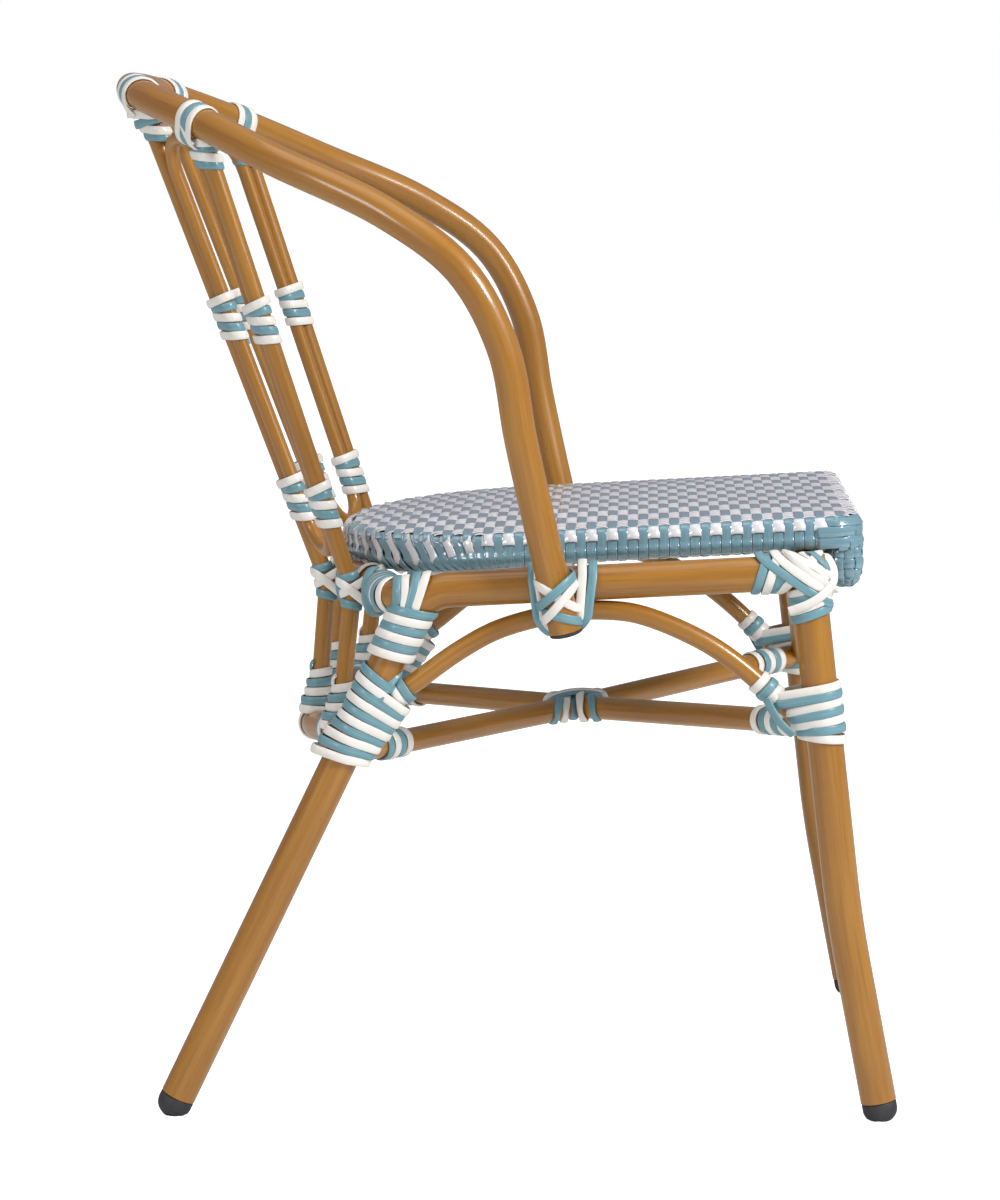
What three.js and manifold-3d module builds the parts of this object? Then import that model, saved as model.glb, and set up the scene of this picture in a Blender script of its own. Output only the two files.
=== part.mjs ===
// Bistro armchair of bent cane-look tubes with a woven seat and strip lashings, in millimetres.
// The chair faces +X and +Z is up. The origin is on the floor under the middle of its outline.
// Left and right are the sitter's, so the right side frame lies towards -Y.
import * as THREE from 'three';
import { mergeVertices } from 'three/addons/utils/BufferGeometryUtils.js';
import Module from 'manifold-3d';

const wasm = await Module();
wasm.setup();

// Clearance between neighbours, and how far a cutting block reaches past what it cuts
const fit = 0.3;
const overrun = 60;

// Side frames: two upright planes, each with a bent rear leg and rail and a curved front leg
const legHalfSpan = 245;
const sideTubeRadius = 13.75;
const frontLegRadius = 14;
const rearFootX = -251.6;
const rearCornerX = -52.9;
const rearCornerZ = 413;
const rearBendRadius = 40;
const frontCornerX = 243.9;
const frontCornerZ = 428.8;
const railNose = 14;
const frontFootX = 305.7;
const frontKneeX = 275.1;
const frontKneeZ = 158;
const frontKneeRadius = 900;
const frontRailRadius = 12;

// Feet
const capHeight = 15;
const capRadius = 13.6;

// Back rail and arms: one tube, given by its half from the middle of the back to the arm's foot
const backRailX = -299.4;
const backRailZ = 800.3;
const armRadius = 12.7;
const armOverhang = 45;
const armHalfSpan = legHalfSpan + armOverhang;
const armFootX = 59;
const armFootZ = 385.3;
const armPlugDepth = 3;
const armPlugRimShare = 0.8;

// Back: spindles, and thin closed loops between them
const spindleRadius = 7;
const loopRadius = 5.75;
const outerSpindleInset = 82;
const spindleGap = 73;
const outerSpindleY = legHalfSpan - outerSpindleInset;
const innerSpindleY = outerSpindleY - spindleGap;
const outerBendX = -111.4;
const innerBendX = -136.9;
const spindleBendZ = 404;
const outerSpindleFootX = -123.3;
const innerSpindleFootX = -146;
const loopFootZ = 433;
const loopTopDrop = 24;
const loopBottomRise = 24;
const loopTopRise = 30;

// Hoops behind the seat
const seatHoopRadius = 12.5;
const seatHoopApexBow = 8;
const seatHoopSideReach = 22;
const seatHoopSideDraw = 5.5;
const seatHoopTurnX = 7.5;
const seatHoopTurnY = 30;
const lowHoopRadius = 12;
const lowHoopLegZ = 301.7;
const lowHoopRearZ = 287;
const lowHoopApexBow = 6;
const lowHoopOuterRiseShare = 0.4;

// Braces under the seat
const archRadius = 7.6;
const archRearZ = 315;
const archFrontZ = 303.3;
const leftJointDrop = 10;
const crossRodRadius = 9.5;
const crossRearRightZ = 286;
const crossRearLeftZ = 272;
const crossFrontRightZ = 311;
const crossFrontLeftZ = 305;
const crossMiddleX = 61.9;
const crossMiddleZ = 290.4;

// Seat: a woven pad over a frame tube, with a rolled front edge
const seatFrontX = 287.8;
const seatRearX = -129;
const seatWaistX = 18;
const seatSideInset = 28;
const seatHalfWidth = legHalfSpan - seatSideInset;
const seatCornerRadius = 26;
const seatThickness = 26;
const seatCrown = 5;
const seatEdgeRadius = 7;
const seatSink = 1;
const apronDrop = 30;
const apronThickness = 25;
const seatFrameRadius = 8;
const seatFrameInset = 30;
const seatFrameLiftShare = 0.8;

// Strips: flat, wound side by side round the joints and the back's tube groups
const stripWidth = 7;
const stripThickness = 1.8;
const stripPitch = 7.5;
const ribLowShare = 0.6;
const bandTurns = 5;
const bandSlack = 0.2;
const midBandZ = 617;
const lowBandZ = 472;

// Facets
const tubeSides = 10;
const hoopSides = 8;
const thinSides = 8;
const wrapSides = 8;
const bendSteps = 4;

// Colours of the finishes
const cane = { color: 0xb07c3c, roughness: 0.42, metalness: 0 };
const blueStrip = { color: 0x6e9fb0, roughness: 0.5, metalness: 0 };
const whiteStrip = { color: 0xece8df, roughness: 0.5, metalness: 0 };
const charcoal = { color: 0x2b2d30, roughness: 0.6, metalness: 0 };
const bareMetal = { color: 0x8d8f92, roughness: 0.4, metalness: 1 };

const rightSide = -1;
const leftSide = 1;
const sideNames = new Map([[rightSide, 'right'], [leftSide, 'left']]);
const up = new THREE.Vector3(0, 0, 1);

function point(x, y, z) {
  return new THREE.Vector3(x, y, z);
}

function between(a, b, share) {
  return a.clone().lerp(b, share);
}

function directionFrom(a, b) {
  return b.clone().sub(a).normalize();
}

// Height of the side rail's axis over any X
function railZ(x) {
  const slope = (frontCornerZ - rearCornerZ) / (frontCornerX - rearCornerX);
  return rearCornerZ + slope * (x - rearCornerX);
}

// Height of the seat's underside over any X
function seatUnderZ(x) {
  return railZ(x) + sideTubeRadius - seatSink;
}

// A route that is followed point by point, so that bends get their own short steps
class Route extends THREE.Curve {
  constructor(points) {
    super();
    this.points = points;
  }

  getPoint(t, target = new THREE.Vector3()) {
    const place = t * (this.points.length - 1);
    const index = Math.min(Math.floor(place), this.points.length - 2);
    return target.lerpVectors(this.points[index], this.points[index + 1], place - index);
  }

  getPointAt(u, target) {
    return this.getPoint(u, target);
  }

  getTangentAt(u, target) {
    return this.getTangent(u, target);
  }
}

// Points of a straight run whose inner corners are rounded by arcs of one radius
function roundedRun(corners, radius, steps) {
  const run = [corners[0]];
  for (let i = 1; i < corners.length - 1; i += 1) {
    const back = directionFrom(corners[i], corners[i - 1]);
    const ahead = directionFrom(corners[i], corners[i + 1]);
    const half = back.angleTo(ahead) / 2;
    const setback = radius / Math.tan(half);
    const start = corners[i].clone().addScaledVector(back, setback);
    const inward = back.clone().add(ahead).normalize();
    const centre = corners[i].clone().addScaledVector(inward, radius / Math.sin(half));
    const axis = back.clone().cross(ahead).normalize();
    const arm = start.clone().sub(centre);
    for (let k = 0; k <= steps; k += 1) {
      const angle = -(Math.PI - 2 * half) * (k / steps);
      run.push(centre.clone().add(arm.clone().applyAxisAngle(axis, angle)));
    }
  }
  run.push(corners[corners.length - 1]);
  return run;
}

// Points at even distances along a smooth curve through a few chosen places
function smoothRun(places, steps, closed = false) {
  return new THREE.CatmullRomCurve3(places, closed, 'centripetal').getSpacedPoints(steps);
}

function nearestOn(run, place) {
  let best = 1;
  for (let i = 1; i < run.length - 1; i += 1) {
    if (run[i].distanceTo(place) < run[best].distanceTo(place)) {
      best = i;
    }
  }
  return { at: run[best], along: directionFrom(run[best - 1], run[best + 1]) };
}

// A closed solid from any closed geometry, turned so that its faces point out
function solidOf(geometry) {
  const plain = geometry.index ? geometry.toNonIndexed() : geometry.clone();
  plain.deleteAttribute('normal');
  plain.deleteAttribute('uv');
  const merged = mergeVertices(plain);
  const triVerts = new Uint32Array(merged.index.array);
  const vertProperties = merged.attributes.position.array;
  const made = new wasm.Manifold(new wasm.Mesh({ numProp: 3, vertProperties, triVerts }));
  if (made.volume() > 0) {
    return made;
  }
  for (let i = 0; i < triVerts.length; i += 3) {
    [triVerts[i + 1], triVerts[i + 2]] = [triVerts[i + 2], triVerts[i + 1]];
  }
  return new wasm.Manifold(new wasm.Mesh({ numProp: 3, vertProperties, triVerts }));
}

// A closed solid through rings with equal counts of points, closed by a fan at each end
function loft(rings, joined = false) {
  const count = rings[0].length;
  const places = rings.flat();
  const faces = [];
  const last = joined ? rings.length : rings.length - 1;
  for (let r = 0; r < last; r += 1) {
    const next = (r + 1) % rings.length;
    for (let k = 0; k < count; k += 1) {
      const m = (k + 1) % count;
      const a = r * count + k;
      const b = r * count + m;
      const c = next * count + m;
      const d = next * count + k;
      faces.push(a, b, c, a, c, d);
    }
  }
  if (!joined) {
    const ends = [rings[0], rings[rings.length - 1]];
    const firsts = [0, (rings.length - 1) * count];
    ends.forEach((ring, side) => {
      const hub = ring.reduce((sum, p) => sum.add(p), point(0, 0, 0)).divideScalar(count);
      const hubIndex = places.push(hub) - 1;
      for (let k = 0; k < count; k += 1) {
        const a = firsts[side] + k;
        const b = firsts[side] + ((k + 1) % count);
        faces.push(...(side === 0 ? [hubIndex, b, a] : [hubIndex, a, b]));
      }
    });
  }
  const geometry = new THREE.BufferGeometry();
  geometry.setAttribute('position', new THREE.Float32BufferAttribute(places.flatMap((p) => p.toArray()), 3));
  geometry.setIndex(faces);
  return solidOf(geometry);
}

function circlePoints(radius, sides) {
  return Array.from({ length: sides }, (_, k) => {
    const angle = (2 * Math.PI * k) / sides;
    return [radius * Math.cos(angle), radius * Math.sin(angle)];
  });
}

// A round bar along a run; grow thickens it and lengthens both of its ends
function tube(run, radius, grow, sides = tubeSides) {
  const points = run.map((p) => p.clone());
  const end = points.length - 1;
  points[0].addScaledVector(directionFrom(run[1], run[0]), grow);
  points[end].addScaledVector(directionFrom(run[end - 1], run[end]), grow);
  const section = circlePoints(radius + grow, sides).map(([a, b]) => new THREE.Vector2(a, b));
  const geometry = new THREE.ExtrudeGeometry(new THREE.Shape(section), {
    steps: end,
    bevelEnabled: false,
    extrudePath: new Route(points),
  });
  return solidOf(geometry);
}

// A round bar that closes on itself
function ringTube(run, radius, sides) {
  const frames = new Route([...run, run[0]]).computeFrenetFrames(run.length, true);
  const section = circlePoints(radius, sides);
  const rings = run.map((centre, i) => section.map(([a, b]) => centre.clone()
    .addScaledVector(frames.normals[i], a)
    .addScaledVector(frames.binormals[i], b)));
  return loft(rings, true);
}

// Straight-sided outline drawn tight round a group of tubes, each given by its place and radius
function tightOutline(circles, extra) {
  const turn = (2 * Math.PI) / wrapSides;
  const reachAt = (angle) => extra + Math.max(...circles.map(([a, b, radius]) => (
    a * Math.cos(angle) + b * Math.sin(angle) + radius
  )));
  return Array.from({ length: wrapSides }, (_, k) => {
    const first = k * turn;
    const second = first + turn;
    const near = reachAt(first);
    const far = reachAt(second);
    return [
      (near * Math.sin(second) - far * Math.sin(first)) / Math.sin(turn),
      (far * Math.cos(first) - near * Math.cos(second)) / Math.sin(turn),
    ];
  });
}

function placeOutline(outline, centre, sideways, across) {
  return outline.map(([a, b]) => centre.clone().addScaledVector(sideways, a).addScaledVector(across, b));
}

// Two directions square to a tube, the first leaning towards a hint, or towards +X if that lies along it
const nearlyAlongShare = 0.95;

function squareTo(along, hint) {
  const steady = Math.abs(hint.dot(along)) < nearlyAlongShare ? hint : point(1, 0, 0);
  const sideways = steady.clone().addScaledVector(along, -steady.dot(along)).normalize();
  return { sideways, across: along.clone().cross(sideways) };
}

// A lashing laid as so many strips side by side, standing out at every second strip
function lashing(centre, along, strips, circles, grow, hint = up) {
  const { sideways, across } = squareTo(along, hint);
  const rings = [];
  for (let k = 0; k <= strips; k += 1) {
    const ends = k === 0 ? -grow : k === strips ? grow : 0;
    const thickness = stripThickness * (k % 2 === 0 ? ribLowShare : 1);
    const middle = centre.clone().addScaledVector(along, (k - strips / 2) * stripPitch + ends);
    rings.push(placeOutline(tightOutline(circles, fit + thickness + grow), middle, sideways, across));
  }
  return loft(rings);
}

// A plain short lashing, one ring of strips thick
function collar(centre, along, strips, circles, grow, hint = up) {
  const { sideways, across } = squareTo(along, hint);
  const outline = tightOutline(circles, fit + stripThickness + grow);
  const reach = (strips * stripPitch) / 2 + grow;
  return loft([-reach, reach].map((offset) => (
    placeOutline(outline, centre.clone().addScaledVector(along, offset), sideways, across)
  )));
}

// Rings of corners of one flat strip wound round a group of tubes in an unbroken helix
function bandRings(centre, along, hint, circles, grow) {
  const { sideways, across } = squareTo(along, hint);
  const origin = point(0, 0, 0);
  const inner = placeOutline(tightOutline(circles, fit + bandSlack - grow / 2), origin, sideways, across);
  const outer = placeOutline(tightOutline(circles, fit + stripThickness + grow), origin, sideways, across);
  const perTurn = inner.length;
  const rings = [];
  for (let k = 0; k <= bandTurns * perTurn; k += 1) {
    const rise = (k / perTurn - bandTurns / 2) * stripPitch;
    const low = rise - stripWidth / 2 - grow;
    const high = rise + stripWidth / 2 + grow;
    const corners = [[inner, low], [outer, low], [outer, high], [inner, high]];
    rings.push(corners.map(([face, lift]) => (
      face[k % perTurn].clone().add(centre).addScaledVector(along, lift)
    )));
  }
  return { rings, perTurn };
}

// Least distance between the facing edges of neighbouring turns, measured on the strip's points
function leastSelfGap({ rings, perTurn }) {
  let least = Infinity;
  for (let k = 0; k + perTurn < rings.length; k += 1) {
    const lowerEdge = [rings[k][2], rings[k][3]];
    const upperEdge = [rings[k + perTurn][0], rings[k + perTurn][1]];
    lowerEdge.forEach((a) => upperEdge.forEach((b) => {
      least = Math.min(least, a.distanceTo(b));
    }));
  }
  return least;
}

// Pieces, in the order in which they make room for each other
const pieces = [];

function boxesMeet(a, b) {
  return [0, 1, 2].every((i) => a.min[i] < b.max[i] && b.min[i] < a.max[i]);
}

// The largest body that is left where a cope cuts a bar's end off
function mainBody(solid) {
  const bodies = solid.decompose();
  return bodies.reduce((best, body) => (body.volume() > best.volume() ? body : best));
}

// Adds a piece: build makes it, thickened by the length it is given, and it yields to earlier ones
function add(name, finish, build, clear = true) {
  let body = build(0);
  if (clear) {
    pieces.forEach((other) => {
      if (boxesMeet(body.boundingBox(), other.room.boundingBox())) {
        body = body.subtract(other.room);
      }
    });
  }
  pieces.push({ name, finish, body: mainBody(body), room: build(fit) });
}

function blockBelow(z) {
  const span = 2 * (frontFootX - rearFootX) + overrun;
  const block = new THREE.BoxGeometry(span, span, overrun);
  block.translate(0, 0, z - overrun / 2);
  return solidOf(block);
}

// Side frames
const rearLegEnds = new Map();
const frontLegEnds = new Map();
const sides = [rightSide, leftSide];

function rearLegAt(side, z) {
  const share = z / rearCornerZ;
  return point(rearFootX + (rearCornerX - rearFootX) * share, side * legHalfSpan, z);
}

function frontLegAt(side, z) {
  const upper = (z - frontKneeZ) / (frontCornerZ - frontKneeZ);
  const lower = z / frontKneeZ;
  const x = z > frontKneeZ
    ? frontKneeX + (frontCornerX - frontKneeX) * upper
    : frontFootX + (frontKneeX - frontFootX) * lower;
  return point(x, side * legHalfSpan, z);
}

sides.forEach((side) => {
  const sideName = sideNames.get(side);
  const y = side * legHalfSpan;
  const rearCorner = point(rearCornerX, y, rearCornerZ);
  const rearFloor = point(rearFootX, y, 0);
  const rearUp = directionFrom(rearFloor, rearCorner);
  const rearEnd = rearFloor.clone().addScaledVector(rearUp, capHeight / rearUp.z);
  const railEnd = point(frontCornerX + railNose, y, railZ(frontCornerX + railNose));
  const rearRun = roundedRun([rearEnd, rearCorner, railEnd], rearBendRadius, bendSteps);
  rearLegEnds.set(side, { end: rearEnd, up: rearUp });
  add(`rear_leg_and_side_rail_${sideName}`, cane, (grow) => tube(rearRun, sideTubeRadius, grow));

  const frontFloor = point(frontFootX, y, 0);
  const knee = point(frontKneeX, y, frontKneeZ);
  const frontTop = point(frontCornerX, y, frontCornerZ);
  const frontUp = directionFrom(frontFloor, knee);
  const frontEnd = frontFloor.clone().addScaledVector(frontUp, capHeight / frontUp.z);
  const frontRun = roundedRun([frontEnd, knee, frontTop], frontKneeRadius, bendSteps);
  frontLegEnds.set(side, { end: frontEnd, up: frontUp });
  add(`front_leg_${sideName}`, cane, (grow) => tube(frontRun, frontLegRadius, grow));
});

add('front_seat_rail', cane, (grow) => {
  const z = seatUnderZ(frontCornerX) - fit - frontRailRadius;
  const ends = sides.map((side) => point(frontCornerX, side * legHalfSpan, z));
  return tube(ends, frontRailRadius, grow);
});

// Foot caps: turned plugs on the legs' ends, cut flat on the floor
// Profile shares: radius by the cap's radius, depth by its height
const capProfileShares = [[0.97, 0], [1, 0.18], [0.98, 0.5], [0.85, 0.8], [0.62, 1.02], [0.3, 1.2]];

function footCap(end, axis, grow) {
  const down = axis.clone().negate();
  const { sideways, across } = squareTo(axis, point(0, 1, 0));
  const rings = capProfileShares.map(([reach, fall]) => {
    const radius = capRadius * reach;
    const depth = capHeight * fall + (fall === 0 ? fit - grow : 0);
    const middle = end.clone().addScaledVector(down, depth);
    return placeOutline(circlePoints(radius + grow, hoopSides), middle, sideways, across);
  });
  return loft(rings).subtract(blockBelow(0));
}

sides.forEach((side) => {
  const sideName = sideNames.get(side);
  const rear = rearLegEnds.get(side);
  const front = frontLegEnds.get(side);
  add(`foot_cap_rear_${sideName}`, charcoal, (grow) => footCap(rear.end, rear.up, grow));
  add(`foot_cap_front_${sideName}`, charcoal, (grow) => footCap(front.end, front.up, grow));
});

// Back rail and arms: shares of the way from the back's middle to the arm's foot
const armFootY = legHalfSpan + sideTubeRadius + fit + armRadius;
const upperArmShares = [
  [0, 0, 1],
  [0.037, innerSpindleY / armHalfSpan, 0.988],
  [0.189, outerSpindleY / armHalfSpan, 0.935],
  [0.375, 0.786, 0.862],
  [0.6196, 0.934, 0.7662],
];
const lowerArmShares = [
  [0.7787, 0.95, 0.6643],
  [0.868, 1, 0.5228],
  [0.905, 0.78, 0.355],
  [0.951, 0.3, 0.175],
  [1, 0, 0],
];

function armPlaces(side) {
  const x = (share) => backRailX + (armFootX - backRailX) * share;
  const z = (share) => armFootZ + (backRailZ - armFootZ) * share;
  const upper = upperArmShares.map(([xs, ys, zs]) => point(x(xs), side * armHalfSpan * ys, z(zs)));
  const lower = lowerArmShares.map(([xs, ys, zs]) => {
    const y = armFootY + (armHalfSpan - armFootY) * ys;
    return point(x(xs), side * y, z(zs));
  });
  return [...upper, ...lower];
}

const leftArmPlaces = armPlaces(leftSide);
const railPlaces = [...armPlaces(rightSide).reverse(), ...leftArmPlaces.slice(1)];
const railSteps = 32;
const railRun = smoothRun(railPlaces, railSteps);
add('back_rail_and_arms', cane, (grow) => tube(railRun, armRadius, grow));

sides.forEach((side) => {
  const foot = point(armFootX, side * armFootY, armFootZ);
  const places = side === rightSide ? railRun : [...railRun].reverse();
  const along = directionFrom(places[1], places[0]);
  add(`arm_end_plug_${sideNames.get(side)}`, charcoal, (grow) => {
    const { sideways, across } = squareTo(along, point(0, 1, 0));
    const profile = [[1, fit - grow], [1, armPlugDepth / 2], [armPlugRimShare, armPlugDepth]];
    return loft(profile.map(([share, depth]) => placeOutline(
      circlePoints(armRadius * share + grow, hoopSides),
      foot.clone().addScaledVector(along, depth),
      sideways,
      across,
    )));
  });
});

// Spindle stations from the right to the left
const spindleStations = [
  { label: 'outer_right', side: rightSide, y: outerSpindleY, bendX: outerBendX, footX: outerSpindleFootX },
  { label: 'inner_right', side: rightSide, y: innerSpindleY, bendX: innerBendX, footX: innerSpindleFootX },
  { label: 'inner_left', side: leftSide, y: innerSpindleY, bendX: innerBendX, footX: innerSpindleFootX },
  { label: 'outer_left', side: leftSide, y: outerSpindleY, bendX: outerBendX, footX: outerSpindleFootX },
];
spindleStations.forEach((station) => {
  const { side, y } = station;
  const onRail = leftArmPlaces.find((place) => Math.abs(place.y - y) < fit);
  station.top = point(onRail.x, side * y, onRail.z);
  station.bend = point(station.bendX, side * y, spindleBendZ);
  station.foot = point(station.footX, side * y, lowHoopRearZ);
  station.up = directionFrom(station.bend, station.top);
});

// Seat hoop: stands in front of the spindles and ends against the rear corners
const seatHoopZ = seatUnderZ(seatRearX) - fit - seatHoopRadius;
const hoopStandOff = spindleRadius + seatHoopRadius + fit;

function seatHoopPlaces(side) {
  const stations = spindleStations.filter((station) => station.side === side);
  const outer = stations.find((station) => station.y === outerSpindleY);
  const inner = stations.find((station) => station.y === innerSpindleY);
  const chord = directionFrom(outer.bend, inner.bend);
  const inward = up.clone().cross(chord).multiplyScalar(side);
  const level = (place) => point(place.x, place.y, seatHoopZ);
  const stand = (station) => level(station.bend).addScaledVector(inward, hoopStandOff);
  const cornerStart = point(rearCornerX, side * legHalfSpan, railZ(rearCornerX));
  const shoulderY = side * (legHalfSpan - seatHoopSideDraw);
  const shoulder = point(rearCornerX - seatHoopSideReach, shoulderY, seatHoopZ);
  const turn = point(stand(outer).x + seatHoopTurnX, side * (outerSpindleY + seatHoopTurnY), seatHoopZ);
  return [cornerStart, shoulder, turn, stand(outer), stand(inner)];
}

const seatHoopSteps = 18;
const rightHoop = seatHoopPlaces(rightSide);
const leftHoop = seatHoopPlaces(leftSide);
const seatHoopApex = point(rightHoop[rightHoop.length - 1].x - seatHoopApexBow, 0, seatHoopZ);
const seatHoopRun = smoothRun([...rightHoop, seatHoopApex, ...leftHoop.reverse()], seatHoopSteps);
add('seat_hoop', cane, (grow) => tube(seatHoopRun, seatHoopRadius, grow, hoopSides));

// Low hoop: carries the spindles' feet and ends on the rear legs
function lowHoopPlaces(side) {
  const leg = rearLegAt(side, lowHoopLegZ);
  const outerZ = lowHoopRearZ + (lowHoopLegZ - lowHoopRearZ) * lowHoopOuterRiseShare;
  const outer = point(outerSpindleFootX, side * outerSpindleY, outerZ);
  const inner = point(innerSpindleFootX, side * innerSpindleY, lowHoopRearZ);
  return [leg, outer, inner];
}

const lowHoopSteps = 14;
const lowHoopApex = point(innerSpindleFootX - lowHoopApexBow, 0, lowHoopRearZ);
const lowHoopRun = smoothRun(
  [...lowHoopPlaces(rightSide), lowHoopApex, ...lowHoopPlaces(leftSide).reverse()],
  lowHoopSteps,
);
add('low_hoop', cane, (grow) => tube(lowHoopRun, lowHoopRadius, grow, hoopSides));

// Spindles: coped on the low hoop and under the back rail
const spindleBendRadius = 60;
spindleStations.forEach((station) => {
  const onHoop = nearestOn(lowHoopRun, station.foot).at;
  const foot = point(station.foot.x, station.foot.y, onHoop.z);
  const run = roundedRun([foot, station.bend, station.top], spindleBendRadius, 2);
  station.hoopZ = onHoop.z;
  add(`spindle_${station.label}`, cane, (grow) => tube(run, spindleRadius, grow, hoopSides));
});

// Loops: closed thin tubes, each leg beside a spindle, round at the top and the bottom
const legPitch = spindleRadius + loopRadius + fit;
const loopArcSteps = 6;
const loopLabels = ['right', 'middle', 'left'];

function loopPlace(a, b, z, edge) {
  const onA = between(a.bend, a.top, (z - a.bend.z) / (a.top.z - a.bend.z));
  const onB = between(b.bend, b.top, (z - b.bend.z) / (b.top.z - b.bend.z));
  const width = onA.distanceTo(onB);
  const share = 1 / 2 + edge * (1 / 2 - legPitch / width);
  return between(onA, onB, share);
}

function loopRun(a, b) {
  const lowest = (a.top.z + b.top.z) / 2 - loopTopDrop;
  const run = [];
  for (let k = 0; k <= loopArcSteps; k += 1) {
    const angle = Math.PI * (k / loopArcSteps);
    run.push(loopPlace(a, b, lowest - loopTopRise + loopTopRise * Math.sin(angle), -Math.cos(angle)));
  }
  for (let k = 0; k <= loopArcSteps; k += 1) {
    const angle = Math.PI * (k / loopArcSteps);
    run.push(loopPlace(a, b, loopFootZ + loopBottomRise - loopBottomRise * Math.sin(angle), Math.cos(angle)));
  }
  return run;
}

loopLabels.forEach((label, i) => {
  const run = loopRun(spindleStations[i], spindleStations[i + 1]);
  add(`back_loop_${label}`, cane, (grow) => ringTube(run, loopRadius + grow, thinSides));
});

// Arches between the legs
const archPeakX = 84.5;
const archSteps = 12;
const sideArchShares = [
  [0, 0], [0.0955, 0.266], [0.214, 0.633], [0.3013, 0.831], [0.44, 0.98],
  [0.5181, 1], [0.6, 0.965], [0.7335, 0.753], [0.8203, 0.532], [0.9607, 0.079], [1, 0],
];

// The left side's lower joints sit a little lower than the right side's
function jointZ(side, z) {
  return side === leftSide ? z - leftJointDrop : z;
}

const sideArchRuns = new Map(sides.map((side) => {
  const rear = rearLegAt(side, jointZ(side, archRearZ));
  const front = frontLegAt(side, jointZ(side, archFrontZ));
  const peakZ = railZ(archPeakX) - sideTubeRadius - fit - archRadius;
  const places = sideArchShares.map(([along, rise]) => {
    const chord = between(rear, front, along);
    return point(chord.x, chord.y, chord.z + (peakZ - chord.z) * rise);
  });
  return [side, smoothRun(places, archSteps)];
}));
sides.forEach((side) => {
  add(`side_arch_${sideNames.get(side)}`, cane,
    (grow) => tube(sideArchRuns.get(side), archRadius, grow, thinSides));
});

const frontArchShares = [[0, 0], [0.1, 0.36], [0.25, 0.76], [0.5, 1], [0.75, 0.76], [0.9, 0.36], [1, 0]];
const frontArchEnds = sides.map((side) => frontLegAt(side, jointZ(side, archFrontZ)));
const frontArchPeakZ = seatUnderZ(frontCornerX) - 2 * fit - 2 * frontRailRadius - archRadius;
const frontArchRun = smoothRun(frontArchShares.map(([along, rise]) => {
  const chord = between(frontArchEnds[0], frontArchEnds[1], along);
  const x = chord.x + (frontCornerX - chord.x) * rise;
  return point(x, chord.y, chord.z + (frontArchPeakZ - chord.z) * rise);
}), archSteps);
add('front_arch', cane, (grow) => tube(frontArchRun, archRadius, grow, thinSides));

// Crossing rods: one runs through, and two half rods are coped on its middle
const crossRear = new Map([
  [rightSide, rearLegAt(rightSide, crossRearRightZ)],
  [leftSide, rearLegAt(leftSide, crossRearLeftZ)],
]);
const crossFront = new Map([
  [rightSide, frontLegAt(rightSide, crossFrontRightZ)],
  [leftSide, frontLegAt(leftSide, crossFrontLeftZ)],
]);
const crossMiddle = point(crossMiddleX, 0, crossMiddleZ);
const throughRun = [crossRear.get(rightSide), crossMiddle, crossFront.get(leftSide)];
const halfRearRun = [crossMiddle, crossRear.get(leftSide)];
const halfFrontRun = [crossMiddle, crossFront.get(rightSide)];
add('cross_rod_through', cane, (grow) => tube(throughRun, crossRodRadius, grow, thinSides));
add('cross_rod_half_rear', cane, (grow) => tube(halfRearRun, crossRodRadius, grow, thinSides));
add('cross_rod_half_front', cane, (grow) => tube(halfFrontRun, crossRodRadius, grow, thinSides));

// Seat outline in plan, from the front corner on one side round the back to the other
const seatArcSteps = 2;
const seatRearSteps = 14;

function seatPlan(inset) {
  const halfWidth = seatHalfWidth - inset;
  const front = seatFrontX - inset;
  const rear = seatRearX + inset;
  const corner = Math.max(seatCornerRadius - inset, seatCornerRadius / 2);
  const plan = [];
  for (let k = 0; k <= seatArcSteps; k += 1) {
    const angle = (Math.PI / 2) * (k / seatArcSteps);
    plan.push([front - corner + corner * Math.cos(angle), halfWidth - corner + corner * Math.sin(angle)]);
  }
  for (let k = 0; k <= seatRearSteps; k += 1) {
    const angle = Math.PI / 2 + Math.PI * (k / seatRearSteps);
    plan.push([seatWaistX + (seatWaistX - rear) * Math.cos(angle), halfWidth * Math.sin(angle)]);
  }
  for (let k = 0; k <= seatArcSteps; k += 1) {
    const angle = (Math.PI / 2) * (k / seatArcSteps - 1);
    plan.push([front - corner + corner * Math.cos(angle), corner - halfWidth + corner * Math.sin(angle)]);
  }
  return plan;
}

const seatFrameRun = seatPlan(seatFrameInset)
  .map(([x, y]) => point(x, y, seatUnderZ(x) + seatFrameRadius * seatFrameLiftShare));
add('seat_frame', bareMetal, (grow) => ringTube(seatFrameRun, seatFrameRadius + grow, thinSides));

// Seat pad: drawn in at its lower and upper edges and crowned over its top
// Each share row: inset by edge radius, inset by half width, height by edge radius, by thickness, by crown
const padLevelShares = [
  [0, 0, 1, 0, 0],
  [0, 0, -1, 1, 0],
  [0.35, 0, -0.3, 1, 0],
  [1.2, 0, 0, 1, 0],
  [0, 0.3, 0, 1, 0.75],
  [0, 0.65, 0, 1, 1],
];

function seatPad(grow) {
  const levels = padLevelShares.map(([edgeIn, widthIn, edgeUp, thickUp, crownUp], i) => [
    seatEdgeRadius * edgeIn + seatHalfWidth * widthIn,
    seatEdgeRadius * edgeUp + seatThickness * thickUp + seatCrown * crownUp + (i > 1 ? grow : 0),
  ]);
  levels.unshift([seatEdgeRadius, -grow]);
  return loft(levels.map(([inset, height]) => seatPlan(inset - grow)
    .map(([x, y]) => point(x, y, seatUnderZ(x) + height))));
}

// Rolled front edge: one profile along the front, rounded off at both ends
// Profile shares: depth back from the front by the apron's thickness, height by its drop
const apronProfileShares = [
  [1, 0.4], [1, -0.7], [0.8, -0.97], [0.35, -1], [0.06, -0.82], [-0.04, -0.3], [0.02, 0.4],
];
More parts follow.
